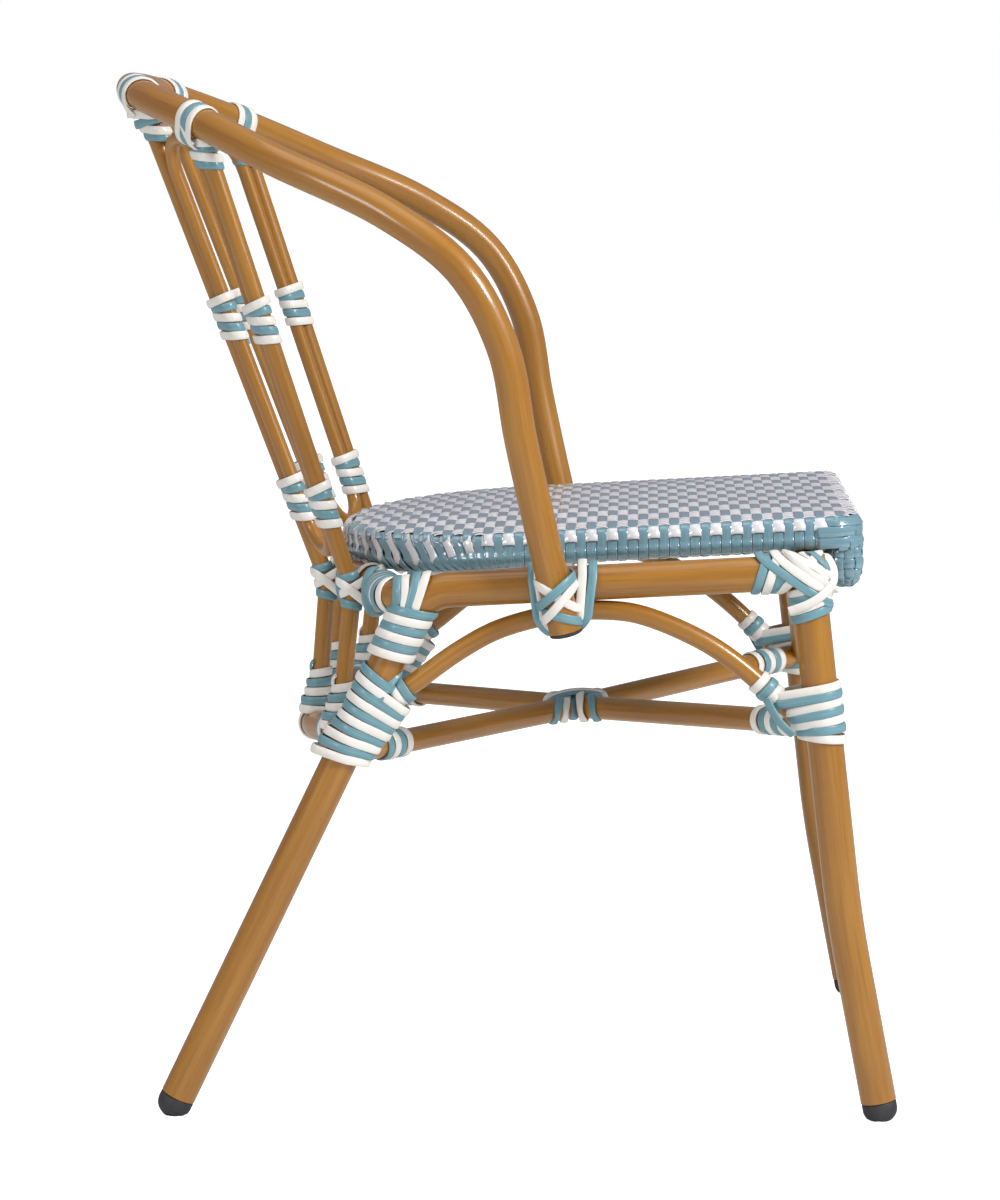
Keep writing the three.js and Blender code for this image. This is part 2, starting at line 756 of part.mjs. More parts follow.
// Station shares: place by half of the apron's length, and the profile's size there
const apronStationShares = [[-1, 0.55], [-0.97, 1], [0.97, 1], [1, 0.55]];
const apronMiddleShare = 0.3;
const apronEndShare = 0.2;

function seatApron(grow) {
  const baseZ = seatUnderZ(seatFrontX);
  const width = seatHalfWidth - seatCornerRadius * apronEndShare + grow;
  const middle = [apronThickness / 2, -apronDrop * apronMiddleShare];
  return loft(apronStationShares.map(([across, scale]) => apronProfileShares.map(([depth, lift]) => {
    const inward = middle[0] + (apronThickness * depth - middle[0]) * scale;
    const height = middle[1] + (apronDrop * lift - middle[1]) * scale;
    return point(seatFrontX - inward, width * across, baseZ + height);
  })));
}

add('woven_seat', blueStrip, (grow) => seatPad(grow).add(seatApron(grow)));

// Tubes of the group at a spindle, seen along it at some height, with the group's own sideways
function groupAt(index, z) {
  const station = spindleStations[index];
  const before = spindleStations[index - 1];
  const after = spindleStations[index + 1];
  const centre = between(station.bend, station.top, (z - station.bend.z) / (station.top.z - station.bend.z));
  const neighbours = [];
  if (before) {
    neighbours.push(loopPlace(before, station, z, 1));
  }
  if (after) {
    neighbours.push(loopPlace(station, after, z, -1));
  }
  const outermost = neighbours.length > 1 ? neighbours : [centre, ...neighbours];
  const hint = directionFrom(outermost[0], outermost[1]);
  const { sideways, across } = squareTo(station.up, hint);
  const loops = neighbours.map((place) => {
    const offset = place.clone().sub(centre);
    return [offset.dot(sideways), offset.dot(across), loopRadius];
  });
  return { centre, hint, circles: [[0, 0, spindleRadius], ...loops] };
}

// Bands of wound strip round the back's tube groups, one unbroken helix each
const bandGaps = [];
[['mid', midBandZ], ['low', lowBandZ]].forEach(([level, z]) => {
  spindleStations.forEach((station, index) => {
    const { centre, hint, circles } = groupAt(index, z);
    bandGaps.push(leastSelfGap(bandRings(centre, station.up, hint, circles, 0)));
    add(`band_${level}_${station.label}`, whiteStrip,
      (grow) => loft(bandRings(centre, station.up, hint, circles, grow).rings));
  });
});
console.log(`least gap between turns of a band: ${Math.min(...bandGaps).toFixed(2)} mm`);

// Lashings on the back rail: strips over the rail and round the tube group under it
const railLashStrips = 3;
const groupLashStrips = 4;
spindleStations.forEach((station, index) => {
  const onRail = nearestOn(railRun, station.top);
  const drop = armRadius + (groupLashStrips * stripPitch) / 2;
  const { centre, hint, circles } = groupAt(index, station.top.z - drop * station.up.z);
  add(`rail_lashing_${station.label}`, whiteStrip, (grow) => collar(
    station.top, onRail.along, railLashStrips, [[0, 0, armRadius]], grow,
  ).add(lashing(centre, station.up, groupLashStrips, circles, grow, hint)));
});

// Lashings where the spindles pass the seat hoop, and where they stand on the low hoop
const hoopLashStrips = 3;
const passLashStrips = 5;
const spindleCircle = [[0, 0, spindleRadius]];
spindleStations.forEach((station) => {
  const passing = point(station.bend.x, station.bend.y, seatHoopZ);
  const onHoop = nearestOn(seatHoopRun, passing);
  add(`seat_hoop_lashing_${station.label}`, blueStrip, (grow) => collar(
    onHoop.at, onHoop.along, hoopLashStrips, [[0, 0, seatHoopRadius]], grow,
  ).add(collar(passing, up, passLashStrips, spindleCircle, grow)));

  const onLow = nearestOn(lowHoopRun, station.foot);
  const standing = directionFrom(station.foot, station.bend);
  const above = onLow.at.clone().addScaledVector(standing, lowHoopRadius + stripPitch);
  add(`low_hoop_lashing_${station.label}`, whiteStrip, (grow) => collar(
    onLow.at, onLow.along, hoopLashStrips, [[0, 0, lowHoopRadius]], grow,
  ).add(collar(above, standing, passLashStrips, spindleCircle, grow)));
});

// Lashings at the legs
const rearLashZ = 302;
const frontLashZ = 317;
const rearTopStrips = 6;
const rearLegStrips = 9;
const frontLegStrips = 7;
const braceStrips = 3;
const braceReachShare = 0.33;
const cornerRailStrips = 6;
const cornerLegStrips = 6;
const sideCircle = [[0, 0, sideTubeRadius]];
const frontCircle = [[0, 0, frontLegRadius]];

// A collar on a brace where it meets a leg
function braceCollar(run, leg, legRadius, radius, grow) {
  const outward = run[0].distanceTo(leg) < run[run.length - 1].distanceTo(leg) ? run : [...run].reverse();
  const along = directionFrom(outward[0], outward[1]);
  const reach = legRadius + braceStrips * stripPitch * braceReachShare;
  return collar(outward[0].clone().addScaledVector(along, reach), along, braceStrips, [[0, 0, radius]], grow);
}

const rodRuns = new Map([
  [rightSide, { rear: throughRun, front: halfFrontRun }],
  [leftSide, { rear: halfRearRun, front: throughRun }],
]);

sides.forEach((side) => {
  const sideName = sideNames.get(side);
  const { up: rearUp } = rearLegEnds.get(side);
  const corner = point(rearCornerX, side * legHalfSpan, rearCornerZ);
  const frontTop = point(frontCornerX, side * legHalfSpan, frontCornerZ);
  const railAlong = directionFrom(corner, frontTop);
  const hoopSide = corner.clone().addScaledVector(railAlong, -seatHoopSideReach / 2);
  const legTop = corner.clone().addScaledVector(rearUp, (-rearTopStrips * stripPitch) / 2 - sideTubeRadius);
  add(`rear_corner_lashing_${sideName}`, blueStrip, (grow) => lashing(
    hoopSide, railAlong, rearTopStrips, sideCircle, grow,
  ).add(lashing(legTop, rearUp, rearTopStrips, sideCircle, grow)));

  const archRun = sideArchRuns.get(side);
  const rods = rodRuns.get(side);
  const rearMiddle = rearLegAt(side, jointZ(side, rearLashZ));
  add(`rear_leg_lashing_${sideName}`, whiteStrip, (grow) => lashing(
    rearMiddle, rearUp, rearLegStrips, sideCircle, grow,
  ).add(braceCollar(archRun, rearMiddle, sideTubeRadius, archRadius, grow))
    .add(braceCollar(rods.rear, rearMiddle, sideTubeRadius, crossRodRadius, grow))
    .add(braceCollar(lowHoopRun, rearMiddle, sideTubeRadius, lowHoopRadius, grow)));

  const frontLegUp = directionFrom(frontLegAt(side, frontKneeZ), frontTop);
  const railReach = railNose - (cornerRailStrips * stripPitch) / 2 + stripWidth / 2;
  const railCentre = frontTop.clone().addScaledVector(railAlong, railReach);
  const legReach = sideTubeRadius / 2 + (cornerLegStrips * stripPitch) / 2;
  const legCentre = frontTop.clone().addScaledVector(frontLegUp, -legReach);
  add(`front_corner_lashing_${sideName}`, whiteStrip, (grow) => lashing(
    railCentre, railAlong, cornerRailStrips, sideCircle, grow,
  ).add(lashing(legCentre, frontLegUp, cornerLegStrips, frontCircle, grow)));

  const frontMiddle = frontLegAt(side, jointZ(side, frontLashZ));
  add(`front_leg_lashing_${sideName}`, whiteStrip, (grow) => lashing(
    frontMiddle, frontLegUp, frontLegStrips, frontCircle, grow,
  ).add(braceCollar(archRun, frontMiddle, frontLegRadius, archRadius, grow))
    .add(braceCollar(rods.front, frontMiddle, frontLegRadius, crossRodRadius, grow)));
});

// Lashings of the arms' feet to the side rails
const armLashX = 57;
const armLashStrips = 7;
const armOverStrips = 4;
sides.forEach((side) => {
  const y = side * legHalfSpan;
  const rail = point(armLashX, y, railZ(armLashX));
  const along = directionFrom(point(rearCornerX, y, rearCornerZ), point(frontCornerX, y, frontCornerZ));
  const outward = point(0, side, 0);
  const both = [[0, 0, sideTubeRadius], [armFootY - legHalfSpan, 0, armRadius]];
  add(`arm_foot_lashing_${sideNames.get(side)}`, blueStrip, (grow) => lashing(
    rail, along, armLashStrips, sideCircle, grow,
  ).add(collar(rail, along, armOverStrips, both, grow, outward)));
});

// Lashing of the crossing rods
const crossStrips = 6;
add('crossing_lashing', blueStrip, (grow) => {
  const through = directionFrom(crossRear.get(rightSide), crossFront.get(leftSide));
  const halves = directionFrom(crossRear.get(leftSide), crossFront.get(rightSide));
  const rodCircle = [[0, 0, crossRodRadius]];
  return collar(crossMiddle, through, crossStrips, rodCircle, grow)
    .add(collar(crossMiddle, halves, crossStrips, rodCircle, grow));
});

// The scene graph: one named mesh for each piece, shifted so that the origin is in the middle
const chair = new THREE.Group();
const outline = new THREE.Box3();
pieces.forEach(({ name, finish, body }) => {
  const { vertProperties, triVerts } = body.getMesh();
  const geometry = new THREE.BufferGeometry();
  geometry.setAttribute('position', new THREE.BufferAttribute(new Float32Array(vertProperties), 3));
  geometry.setIndex(new THREE.BufferAttribute(new Uint32Array(triVerts), 1));
  const flat = geometry.toNonIndexed();
  flat.computeVertexNormals();
  flat.computeBoundingBox();
  outline.union(flat.boundingBox);
  const mesh = new THREE.Mesh(flat, new THREE.MeshStandardMaterial({ ...finish, flatShading: false }));
  mesh.name = name;
  chair.add(mesh);
});
const middleX = (outline.min.x + outline.max.x) / 2;
chair.children.forEach((mesh) => {
  mesh.position.x = -middleX;
});

export default chair;
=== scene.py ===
"""Bistro armchair of bent cane-look tubes, wound strip lashings and a woven seat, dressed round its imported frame.

Lengths are in metres. The chair faces +X, +Z is up, and the sitter's right side is towards -Y.
"""
import math
from collections import namedtuple

import bmesh
import bpy
from mathutils import Euler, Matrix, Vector


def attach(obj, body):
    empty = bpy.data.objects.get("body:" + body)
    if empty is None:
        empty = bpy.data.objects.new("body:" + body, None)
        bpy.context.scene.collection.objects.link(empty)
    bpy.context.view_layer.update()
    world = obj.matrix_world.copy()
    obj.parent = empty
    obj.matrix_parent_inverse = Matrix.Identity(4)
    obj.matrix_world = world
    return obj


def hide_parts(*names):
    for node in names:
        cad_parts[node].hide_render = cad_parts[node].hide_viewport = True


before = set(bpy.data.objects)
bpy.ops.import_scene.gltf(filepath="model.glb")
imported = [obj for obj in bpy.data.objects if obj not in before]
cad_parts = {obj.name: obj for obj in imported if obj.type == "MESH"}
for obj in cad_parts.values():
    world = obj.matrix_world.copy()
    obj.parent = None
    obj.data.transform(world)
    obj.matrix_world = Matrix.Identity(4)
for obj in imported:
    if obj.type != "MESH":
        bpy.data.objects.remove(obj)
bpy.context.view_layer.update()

BODY = "root"
FULL_TURN = 2 * math.pi
TINY = 1e-9

# The routes are drawn from the rear of the seat's waist; the frame's origin is in the middle of the chair
MIDDLE_X = 0.002631

# Side frames
LEG_HALF_SPAN = 0.245
SIDE_RADIUS = 0.01375
FRONT_LEG_RADIUS = 0.014
REAR_FOOT_X = -0.2516
REAR_CORNER_X, REAR_CORNER_Z = -0.0529, 0.413
REAR_BEND_RADIUS = 0.040
FRONT_CORNER_X, FRONT_CORNER_Z = 0.2439, 0.4288
RAIL_NOSE = 0.014
FRONT_FOOT_X = 0.3057
FRONT_KNEE_X, FRONT_KNEE_Z = 0.2751, 0.158
FRONT_KNEE_RADIUS = 0.900
FRONT_RAIL_RADIUS = 0.012
CAP_HEIGHT = 0.015
CAP_RADIUS = 0.0136
FIT = 0.0003

# Back rail and arms
BACK_RAIL_X, BACK_RAIL_Z = -0.2994, 0.8003
ARM_RADIUS = 0.0127
ARM_HALF_SPAN = 0.290
ARM_FOOT_X, ARM_FOOT_Z = 0.059, 0.3853
ARM_FOOT_Y = LEG_HALF_SPAN + SIDE_RADIUS + FIT + ARM_RADIUS
ARM_PLUG_DEPTH = 0.003

# Spindles and loops of the back
SPINDLE_RADIUS = 0.007
LOOP_RADIUS = 0.00575
OUTER_SPINDLE_Y, INNER_SPINDLE_Y = 0.163, 0.090
OUTER_BEND_X, INNER_BEND_X = -0.1114, -0.1369
SPINDLE_BEND_Z = 0.404
SPINDLE_BEND_RADIUS = 0.060
OUTER_FOOT_X, INNER_FOOT_X = -0.1233, -0.146
LOOP_FOOT_Z = 0.433
LOOP_TOP_DROP = 0.024
LOOP_BOTTOM_RISE = 0.024
LOOP_TOP_RISE = 0.030

# Hoops behind and under the seat
SEAT_HOOP_RADIUS = 0.0125
SEAT_HOOP_BOW = 0.008
SEAT_HOOP_REACH = 0.022
SEAT_HOOP_DRAW = 0.0055
SEAT_HOOP_TURN_X, SEAT_HOOP_TURN_Y = 0.0075, 0.030
LOW_HOOP_RADIUS = 0.012
LOW_HOOP_LEG_Z, LOW_HOOP_REAR_Z = 0.3017, 0.287
LOW_HOOP_BOW = 0.006
LOW_HOOP_RISE_SHARE = 0.4

# Braces under the seat
ARCH_RADIUS = 0.0076
ARCH_REAR_Z, ARCH_FRONT_Z = 0.315, 0.3033
ARCH_PEAK_X = 0.0845
LEFT_DROP = 0.010
ROD_RADIUS = 0.0095
ROD_REAR_RIGHT_Z, ROD_REAR_LEFT_Z = 0.286, 0.272
ROD_FRONT_RIGHT_Z, ROD_FRONT_LEFT_Z = 0.311, 0.305
ROD_MIDDLE_X, ROD_MIDDLE_Z = 0.0619, 0.2904

# Seat
SEAT_FRONT_X, SEAT_REAR_X, SEAT_WAIST_X = 0.2878, -0.129, 0.018
SEAT_HALF_WIDTH = 0.217
SEAT_CORNER_RADIUS = 0.026
SEAT_THICKNESS = 0.026
SEAT_CROWN = 0.005
SEAT_SINK = 0.001
SEAT_FRAME_INSET = 0.030
SEAT_FRAME_RADIUS = 0.008
APRON_DROP, APRON_THICKNESS = 0.030, 0.025

# Strips
STRIP_WIDTH = 0.0070
STRIP_THICKNESS = 0.0017
STRIP_PITCH = 0.0073
WEAVE_PITCH = 0.00805
WEAVE_WIDTH = 0.0079
WEAVE_THICKNESS = 0.0011

RIGHT, LEFT = -1, 1
SIDES = {RIGHT: "right", LEFT: "left"}
UP = Vector((0, 0, 1))
FORWARD = Vector((1, 0, 0))
BLUE, WHITE = 0.0, 1.0


def between(a, b, share):
    return a + (b - a) * share


def heading(a, b):
    return (b - a).normalized()


def rail_z(x):
    """Height of the side rail's axis over any X."""
    slope = (FRONT_CORNER_Z - REAR_CORNER_Z) / (FRONT_CORNER_X - REAR_CORNER_X)
    return REAR_CORNER_Z + slope * (x - REAR_CORNER_X)


def seat_under_z(x):
    """Height of the seat's underside over any X."""
    return rail_z(x) + SIDE_RADIUS - SEAT_SINK


def evenly(points, steps):
    """The same line with its points at even distances."""
    reach = [0.0]
    for a, b in zip(points, points[1:]):
        reach.append(reach[-1] + (b - a).length)
    spaced, at = [], 0
    for k in range(steps + 1):
        goal = reach[-1] * k / steps
        while at < len(points) - 2 and reach[at + 1] < goal:
            at += 1
        share = (goal - reach[at]) / max(reach[at + 1] - reach[at], TINY)
        spaced.append(between(points[at], points[at + 1], share))
    return spaced


def smooth_run(places, steps, fine=24):
    """Points at even distances along a centripetal spline through a few chosen places."""
    ends = [places[0] * 2 - places[1], *places, places[-1] * 2 - places[-2]]
    dense = []
    for a, b, c, d in zip(ends, ends[1:], ends[2:], ends[3:]):
        before, here, after = (max((q - p).length, TINY) ** 0.5 for p, q in ((a, b), (b, c), (c, d)))
        leaving = ((b - a) / before - (c - a) / (before + here) + (c - b) / here) * here
        arriving = ((c - b) / here - (d - b) / (here + after) + (d - c) / after) * here
        for k in range(fine):
            t = k / fine
            dense.append(
                b * (2 * t ** 3 - 3 * t ** 2 + 1) + leaving * (t ** 3 - 2 * t ** 2 + t)
                + c * (3 * t ** 2 - 2 * t ** 3) + arriving * (t ** 3 - t ** 2)
            )
    dense.append(places[-1].copy())
    return evenly(dense, steps)


def rounded_run(corners, radius, steps):
    """A straight run whose inner corners are rounded by arcs of one radius."""
    run = [corners[0]]
    for before, corner, after in zip(corners, corners[1:], corners[2:]):
        back, ahead = heading(corner, before), heading(corner, after)
        half = back.angle(ahead) / 2
        centre = corner + (back + ahead).normalized() * (radius / math.sin(half))
        start = corner + back * (radius / math.tan(half)) - centre
        finish = corner + ahead * (radius / math.tan(half)) - centre
        run += [centre + start.slerp(finish, k / steps).normalized() * radius for k in range(steps + 1)]
    return [*run, corners[-1]]


Tube = namedtuple("Tube", "run radius")


def place_on(tube, near, distance=0.0):
    """Point and direction of a tube at some distance along it from its point nearest to a place."""
    run = tube.run
    start = min(range(len(run)), key=lambda i: (run[i] - near).length_squared)
    lower = max(min(start, len(run) - 2), 0)
    along = run[lower + 1] - run[lower]
    ahead = (near - run[lower]).dot(along) / max(along.length, TINY) + distance
    at = lower
    while at < len(run) - 2 and ahead > (run[at + 1] - run[at]).length:
        ahead -= (run[at + 1] - run[at]).length
        at += 1
    while at > 0 and ahead < 0:
        at -= 1
        ahead += (run[at + 1] - run[at]).length
    direction = heading(run[at], run[at + 1])
    return run[at] + direction * ahead, direction


# Building of node trees


def add_node(tree, kind, inputs=None, **settings):
    """A node with its settings, and its inputs given as numbers or as other nodes' sockets."""
    made = tree.nodes.new(kind)
    for name, value in settings.items():
        setattr(made, name, value)
    for key, value in (inputs or {}).items():
        if isinstance(value, bpy.types.NodeSocket):
            tree.links.new(value, made.inputs[key])
        else:
            made.inputs[key].default_value = value
    return made


def new_group(name, kind, inputs, outputs):
    """An empty node group with named sockets, and its two end nodes."""
    tree = bpy.data.node_groups.new(name, kind)
    for title, sort, value in inputs:
        socket = tree.interface.new_socket(title, in_out="INPUT", socket_type=sort)
        if value is not None:
            socket.default_value = value
    for title, sort in outputs:
        tree.interface.new_socket(title, in_out="OUTPUT", socket_type=sort)
    return tree, add_node(tree, "NodeGroupInput"), add_node(tree, "NodeGroupOutput")


def sweep_ending(tree, curve, profile, enter, leave, caps):
    """The shared end of both sweeps: surface along the path, with its place in the sweep kept for the finish."""
    section = add_node(tree, "GeometryNodeCaptureAttribute", {"Geometry": profile}, domain="POINT")
    section.capture_items.new("VECTOR", "Place")
    tree.links.new(add_node(tree, "GeometryNodeInputPosition").outputs[0], section.inputs["Place"])
    length = add_node(tree, "GeometryNodeCaptureAttribute", {"Geometry": curve}, domain="POINT")
    length.capture_items.new("FLOAT", "Length")
    tree.links.new(add_node(tree, "GeometryNodeSplineParameter").outputs["Length"], length.inputs["Length"])
    skin = add_node(tree, "GeometryNodeCurveToMesh", {
        "Curve": length.outputs["Geometry"], "Profile Curve": section.outputs["Geometry"], "Fill Caps": caps,
    })
    parts = add_node(tree, "ShaderNodeSeparateXYZ", {0: section.outputs["Place"]})
    swept = add_node(tree, "ShaderNodeCombineXYZ", {
        0: parts.outputs[0], 1: parts.outputs[1], 2: length.outputs["Length"],
    })
    kept = add_node(tree, "GeometryNodeStoreNamedAttribute", {
        "Geometry": skin.outputs[0], "Name": "swept", "Value": swept.outputs[0],
    }, data_type="FLOAT_VECTOR", domain="POINT")
    smooth = add_node(tree, "GeometryNodeSetShadeSmooth", {"Geometry": kept.outputs[0]})
    solid = add_node(tree, "GeometryNodeRealizeInstances", {"Geometry": smooth.outputs[0]})
    painted = add_node(tree, "GeometryNodeSetMaterial", {
        "Geometry": solid.outputs[0], "Material": enter.outputs["Material"],
    })
    tree.links.new(painted.outputs[0], leave.inputs[0])


def calculated(tree, operation, *values):
    return add_node(tree, "ShaderNodeMath", dict(enumerate(values)), operation=operation).outputs[0]


def squared_off(tree, value):
    """A coordinate of a unit circle pushed out towards the square round it."""
    reach = calculated(tree, "POWER", calculated(tree, "ABSOLUTE", value), 0.45)
    return calculated(tree, "MULTIPLY", calculated(tree, "SIGN", value), reach)


def round_bar_tree():
    tree, enter, leave = new_group("round bar along a route", "GeometryNodeTree", [
        ("Route", "NodeSocketGeometry", None),
        ("Radius", "NodeSocketFloat", SIDE_RADIUS),
        ("Sides", "NodeSocketInt", 32),
        ("Material", "NodeSocketMaterial", None),
    ], [("Bar", "NodeSocketGeometry")])
    curve = add_node(tree, "GeometryNodeMeshToCurve", {"Mesh": enter.outputs["Route"]})
    circle = add_node(tree, "GeometryNodeCurvePrimitiveCircle", {
        "Resolution": enter.outputs["Sides"], "Radius": enter.outputs["Radius"],
    }, mode="RADIUS")
    sweep_ending(tree, curve.outputs[0], circle.outputs[0], enter, leave, True)
    return tree


def flat_strip_tree():
    tree, enter, leave = new_group("flat strip along a route", "GeometryNodeTree", [
        ("Route", "NodeSocketGeometry", None),
        ("Width", "NodeSocketFloat", STRIP_WIDTH),
        ("Thickness", "NodeSocketFloat", STRIP_THICKNESS),
        ("Bow", "NodeSocketFloat", 0.0004),
        ("Sides", "NodeSocketInt", 14),
        ("Material", "NodeSocketMaterial", None),
    ], [("Strip", "NodeSocketGeometry")])
    curve = add_node(tree, "GeometryNodeMeshToCurve", {"Mesh": enter.outputs["Route"]})
    outward = add_node(tree, "GeometryNodeInputNamedAttribute", {"Name": "outward"}, data_type="FLOAT_VECTOR")
    turned = add_node(tree, "GeometryNodeSetCurveNormal", {
        "Curve": curve.outputs[0], "Normal": outward.outputs[0],
    }, mode="FREE")
    circle = add_node(tree, "GeometryNodeCurvePrimitiveCircle", {
        "Resolution": enter.outputs["Sides"], "Radius": 1.0,
    }, mode="RADIUS")
    parts = add_node(tree, "ShaderNodeSeparateXYZ", {0: add_node(tree, "GeometryNodeInputPosition").outputs[0]})
    through, across = (squared_off(tree, parts.outputs[k]) for k in range(2))
    fall = calculated(tree, "MULTIPLY", calculated(tree, "MULTIPLY", across, across), enter.outputs["Bow"])
    raised = calculated(tree, "MULTIPLY", through, calculated(tree, "MULTIPLY", enter.outputs["Thickness"], 0.5))
    section = add_node(tree, "ShaderNodeCombineXYZ", {
        0: calculated(tree, "SUBTRACT", raised, fall),
        1: calculated(tree, "MULTIPLY", across, calculated(tree, "MULTIPLY", enter.outputs["Width"], 0.5)),
    })
    rounded = add_node(tree, "GeometryNodeSetPosition", {
        "Geometry": circle.outputs[0], "Position": section.outputs[0],
    })
    sweep_ending(tree, turned.outputs[0], rounded.outputs[0], enter, leave, True)
    return tree


# Routes are edges of a mesh; a strip's route also says which way is outward and which colour it has
Route = namedtuple("Route", "points outward shade closed")


def grow(name, routes, tree, sizes):
    """A plain mesh piece, grown by a node tree along its routes."""
    places, edges, outward, shade = [], [], [], []
    for route in routes:
        first = len(places)
        count = len(route.points)
        places += [p - Vector((MIDDLE_X, 0, 0)) for p in route.points]
        edges += [(first + k, first + k + 1) for k in range(count - 1)]
        if route.closed:
            edges.append((first + count - 1, first))
        outward += route.outward or [UP] * count
        shade += [route.shade] * count
    mesh = bpy.data.meshes.new(name)
    mesh.from_pydata(places, edges, [])
    mesh.attributes.new("outward", "FLOAT_VECTOR", "POINT").data.foreach_set("vector", [c for v in outward for c in v])
    mesh.attributes.new("shade", "FLOAT", "POINT").data.foreach_set("value", shade)
    piece = bpy.data.objects.new(name, mesh)
    bpy.context.scene.collection.objects.link(piece)
    modifier = piece.modifiers.new("grow", "NODES")
    modifier.node_group = tree
    for socket in tree.interface.items_tree:
        if socket.name in sizes:
            modifier[socket.identifier] = sizes[socket.name]
    layer = bpy.context.evaluated_depsgraph_get()
    plain = bpy.data.meshes.new_from_object(
        piece.evaluated_get(layer), preserve_all_data_layers=True, depsgraph=layer)
    piece.modifiers.remove(modifier)
    piece.data = plain
    bpy.data.meshes.remove(mesh)
    plain.name = name
    return piece


def settle(piece, slot, *nodes):
    """Every piece rides on the one body and stands for its solids; the slot is not used."""
    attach(piece, BODY)
    if nodes:
        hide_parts(*nodes)
    return piece


# Finishes


def streak_group():
    """Fine streaks that run along a tube or a strip, as a mask from 0 to 1."""
    tree, enter, leave = new_group("lengthwise streaks", "ShaderNodeTree", [
        ("Place", "NodeSocketVector", None),
        ("Across", "NodeSocketFloat", 400.0),
        ("Along", "NodeSocketFloat", 12.0),
        ("Detail", "NodeSocketFloat", 4.0),
    ], [("Mask", "NodeSocketFloat")])
    stretch = add_node(tree, "ShaderNodeCombineXYZ", {
        0: enter.outputs["Across"], 1: enter.outputs["Across"], 2: enter.outputs["Along"],
    })
    scaled = add_node(tree, "ShaderNodeVectorMath", {0: enter.outputs["Place"], 1: stretch.outputs[0]},
                      operation="MULTIPLY")
    noise = add_node(tree, "ShaderNodeTexNoise", {
        "Vector": scaled.outputs[0], "Scale": 1.0, "Detail": enter.outputs["Detail"], "Roughness": 0.6,
    })
    tree.links.new(noise.outputs["Fac"], leave.inputs["Mask"])
    return tree


def drift_group():
    """Slow changes of tone over the whole object, as a mask from 0 to 1."""
    tree, enter, leave = new_group("slow drift", "ShaderNodeTree", [
        ("Scale", "NodeSocketFloat", 9.0),
    ], [("Mask", "NodeSocketFloat")])
    place = add_node(tree, "ShaderNodeTexCoord")
    noise = add_node(tree, "ShaderNodeTexNoise", {
        "Vector": place.outputs["Object"], "Scale": enter.outputs["Scale"], "Detail": 3.0,
    })
    spread = add_node(tree, "ShaderNodeMapRange", {
        "Value": noise.outputs["Fac"], "From Min": 0.3, "From Max": 0.7,
    })
    tree.links.new(spread.outputs["Result"], leave.inputs["Mask"])
    return tree


def srgb(red, green, blue):
    """A colour given as it shows on a screen, from 0 to 255, as the shader's own numbers."""
    def linear(value):
        share = value / 255
        return share / 12.92 if share <= 0.04045 else ((share + 0.055) / 1.055) ** 2.4
    return (linear(red), linear(green), linear(blue), 1.0)


STREAKS = streak_group()
DRIFT = drift_group()


def new_finish(name, **plain):
    """A material with one Principled shader, its plain values set on its own sockets."""
    material = bpy.data.materials.new(name)
    material.use_nodes = True
    tree = material.node_tree
    shader = tree.nodes["Principled BSDF"]
    for key, value in plain.items():
        shader.inputs[key.replace("_", " ")].default_value = value
    return material, tree, shader


def mix_colour(tree, share, first, second, blend="MIX"):
    return add_node(tree, "ShaderNodeMix", {0: share, 6: first, 7: second},
                    data_type="RGBA", blend_type=blend).outputs[2]


def ramp_value(tree, value, low, high, floor=0.0, top=1.0):
    return add_node(tree, "ShaderNodeMapRange", {
        "Value": value, "From Min": low, "From Max": high, "To Min": floor, "To Max": top,
    }).outputs["Result"]


def cane_finish():
    """Cane-look lacquer: golden brown with fine darker grain, a few specks and a soft gloss."""
    material, tree, shader = new_finish("cane_lacquer", Coat_Weight=0.5, Coat_Roughness=0.12)
    swept = add_node(tree, "ShaderNodeAttribute", attribute_name="swept").outputs["Vector"]
    fine = add_node(tree, "ShaderNodeGroup", {}, node_tree=STREAKS)
    wide = add_node(tree, "ShaderNodeGroup", {}, node_tree=STREAKS)
    for grain, across, along, detail in ((fine, 900.0, 16.0, 5.0), (wide, 140.0, 7.0, 3.0)):
        tree.links.new(swept, grain.inputs["Place"])
        grain.inputs["Across"].default_value = across
        grain.inputs["Along"].default_value = along
        grain.inputs["Detail"].default_value = detail
    drift = add_node(tree, "ShaderNodeGroup", {"Scale": 7.0}, node_tree=DRIFT)
    base = mix_colour(tree, ramp_value(tree, wide.outputs[0], 0.35, 0.68), srgb(152, 101, 26), srgb(176, 123, 40))
    toned = mix_colour(tree, ramp_value(tree, drift.outputs[0], 0.0, 1.0, 0.0, 0.3), base, srgb(156, 100, 30))
    dark = ramp_value(tree, fine.outputs[0], 0.42, 0.3, 0.0, 0.5)
    grained = mix_colour(tree, dark, toned, srgb(112, 72, 20))
    speckle = add_node(tree, "ShaderNodeTexVoronoi", {
        "Vector": add_node(tree, "ShaderNodeTexCoord").outputs["Object"], "Scale": 42.0, "Randomness": 1.0,
    })
    speck = ramp_value(tree, speckle.outputs["Distance"], 0.035, 0.02, 0.0, 0.6)
    tree.links.new(mix_colour(tree, speck, grained, srgb(70, 44, 22)), shader.inputs["Base Color"])
    tree.links.new(ramp_value(tree, fine.outputs[0], 0.3, 0.7, 0.38, 0.28), shader.inputs["Roughness"])
    bump = add_node(tree, "ShaderNodeBump", {"Height": fine.outputs[0], "Distance": 0.00008, "Strength": 0.5})
    tree.links.new(bump.outputs[0], shader.inputs["Normal"])
    return material


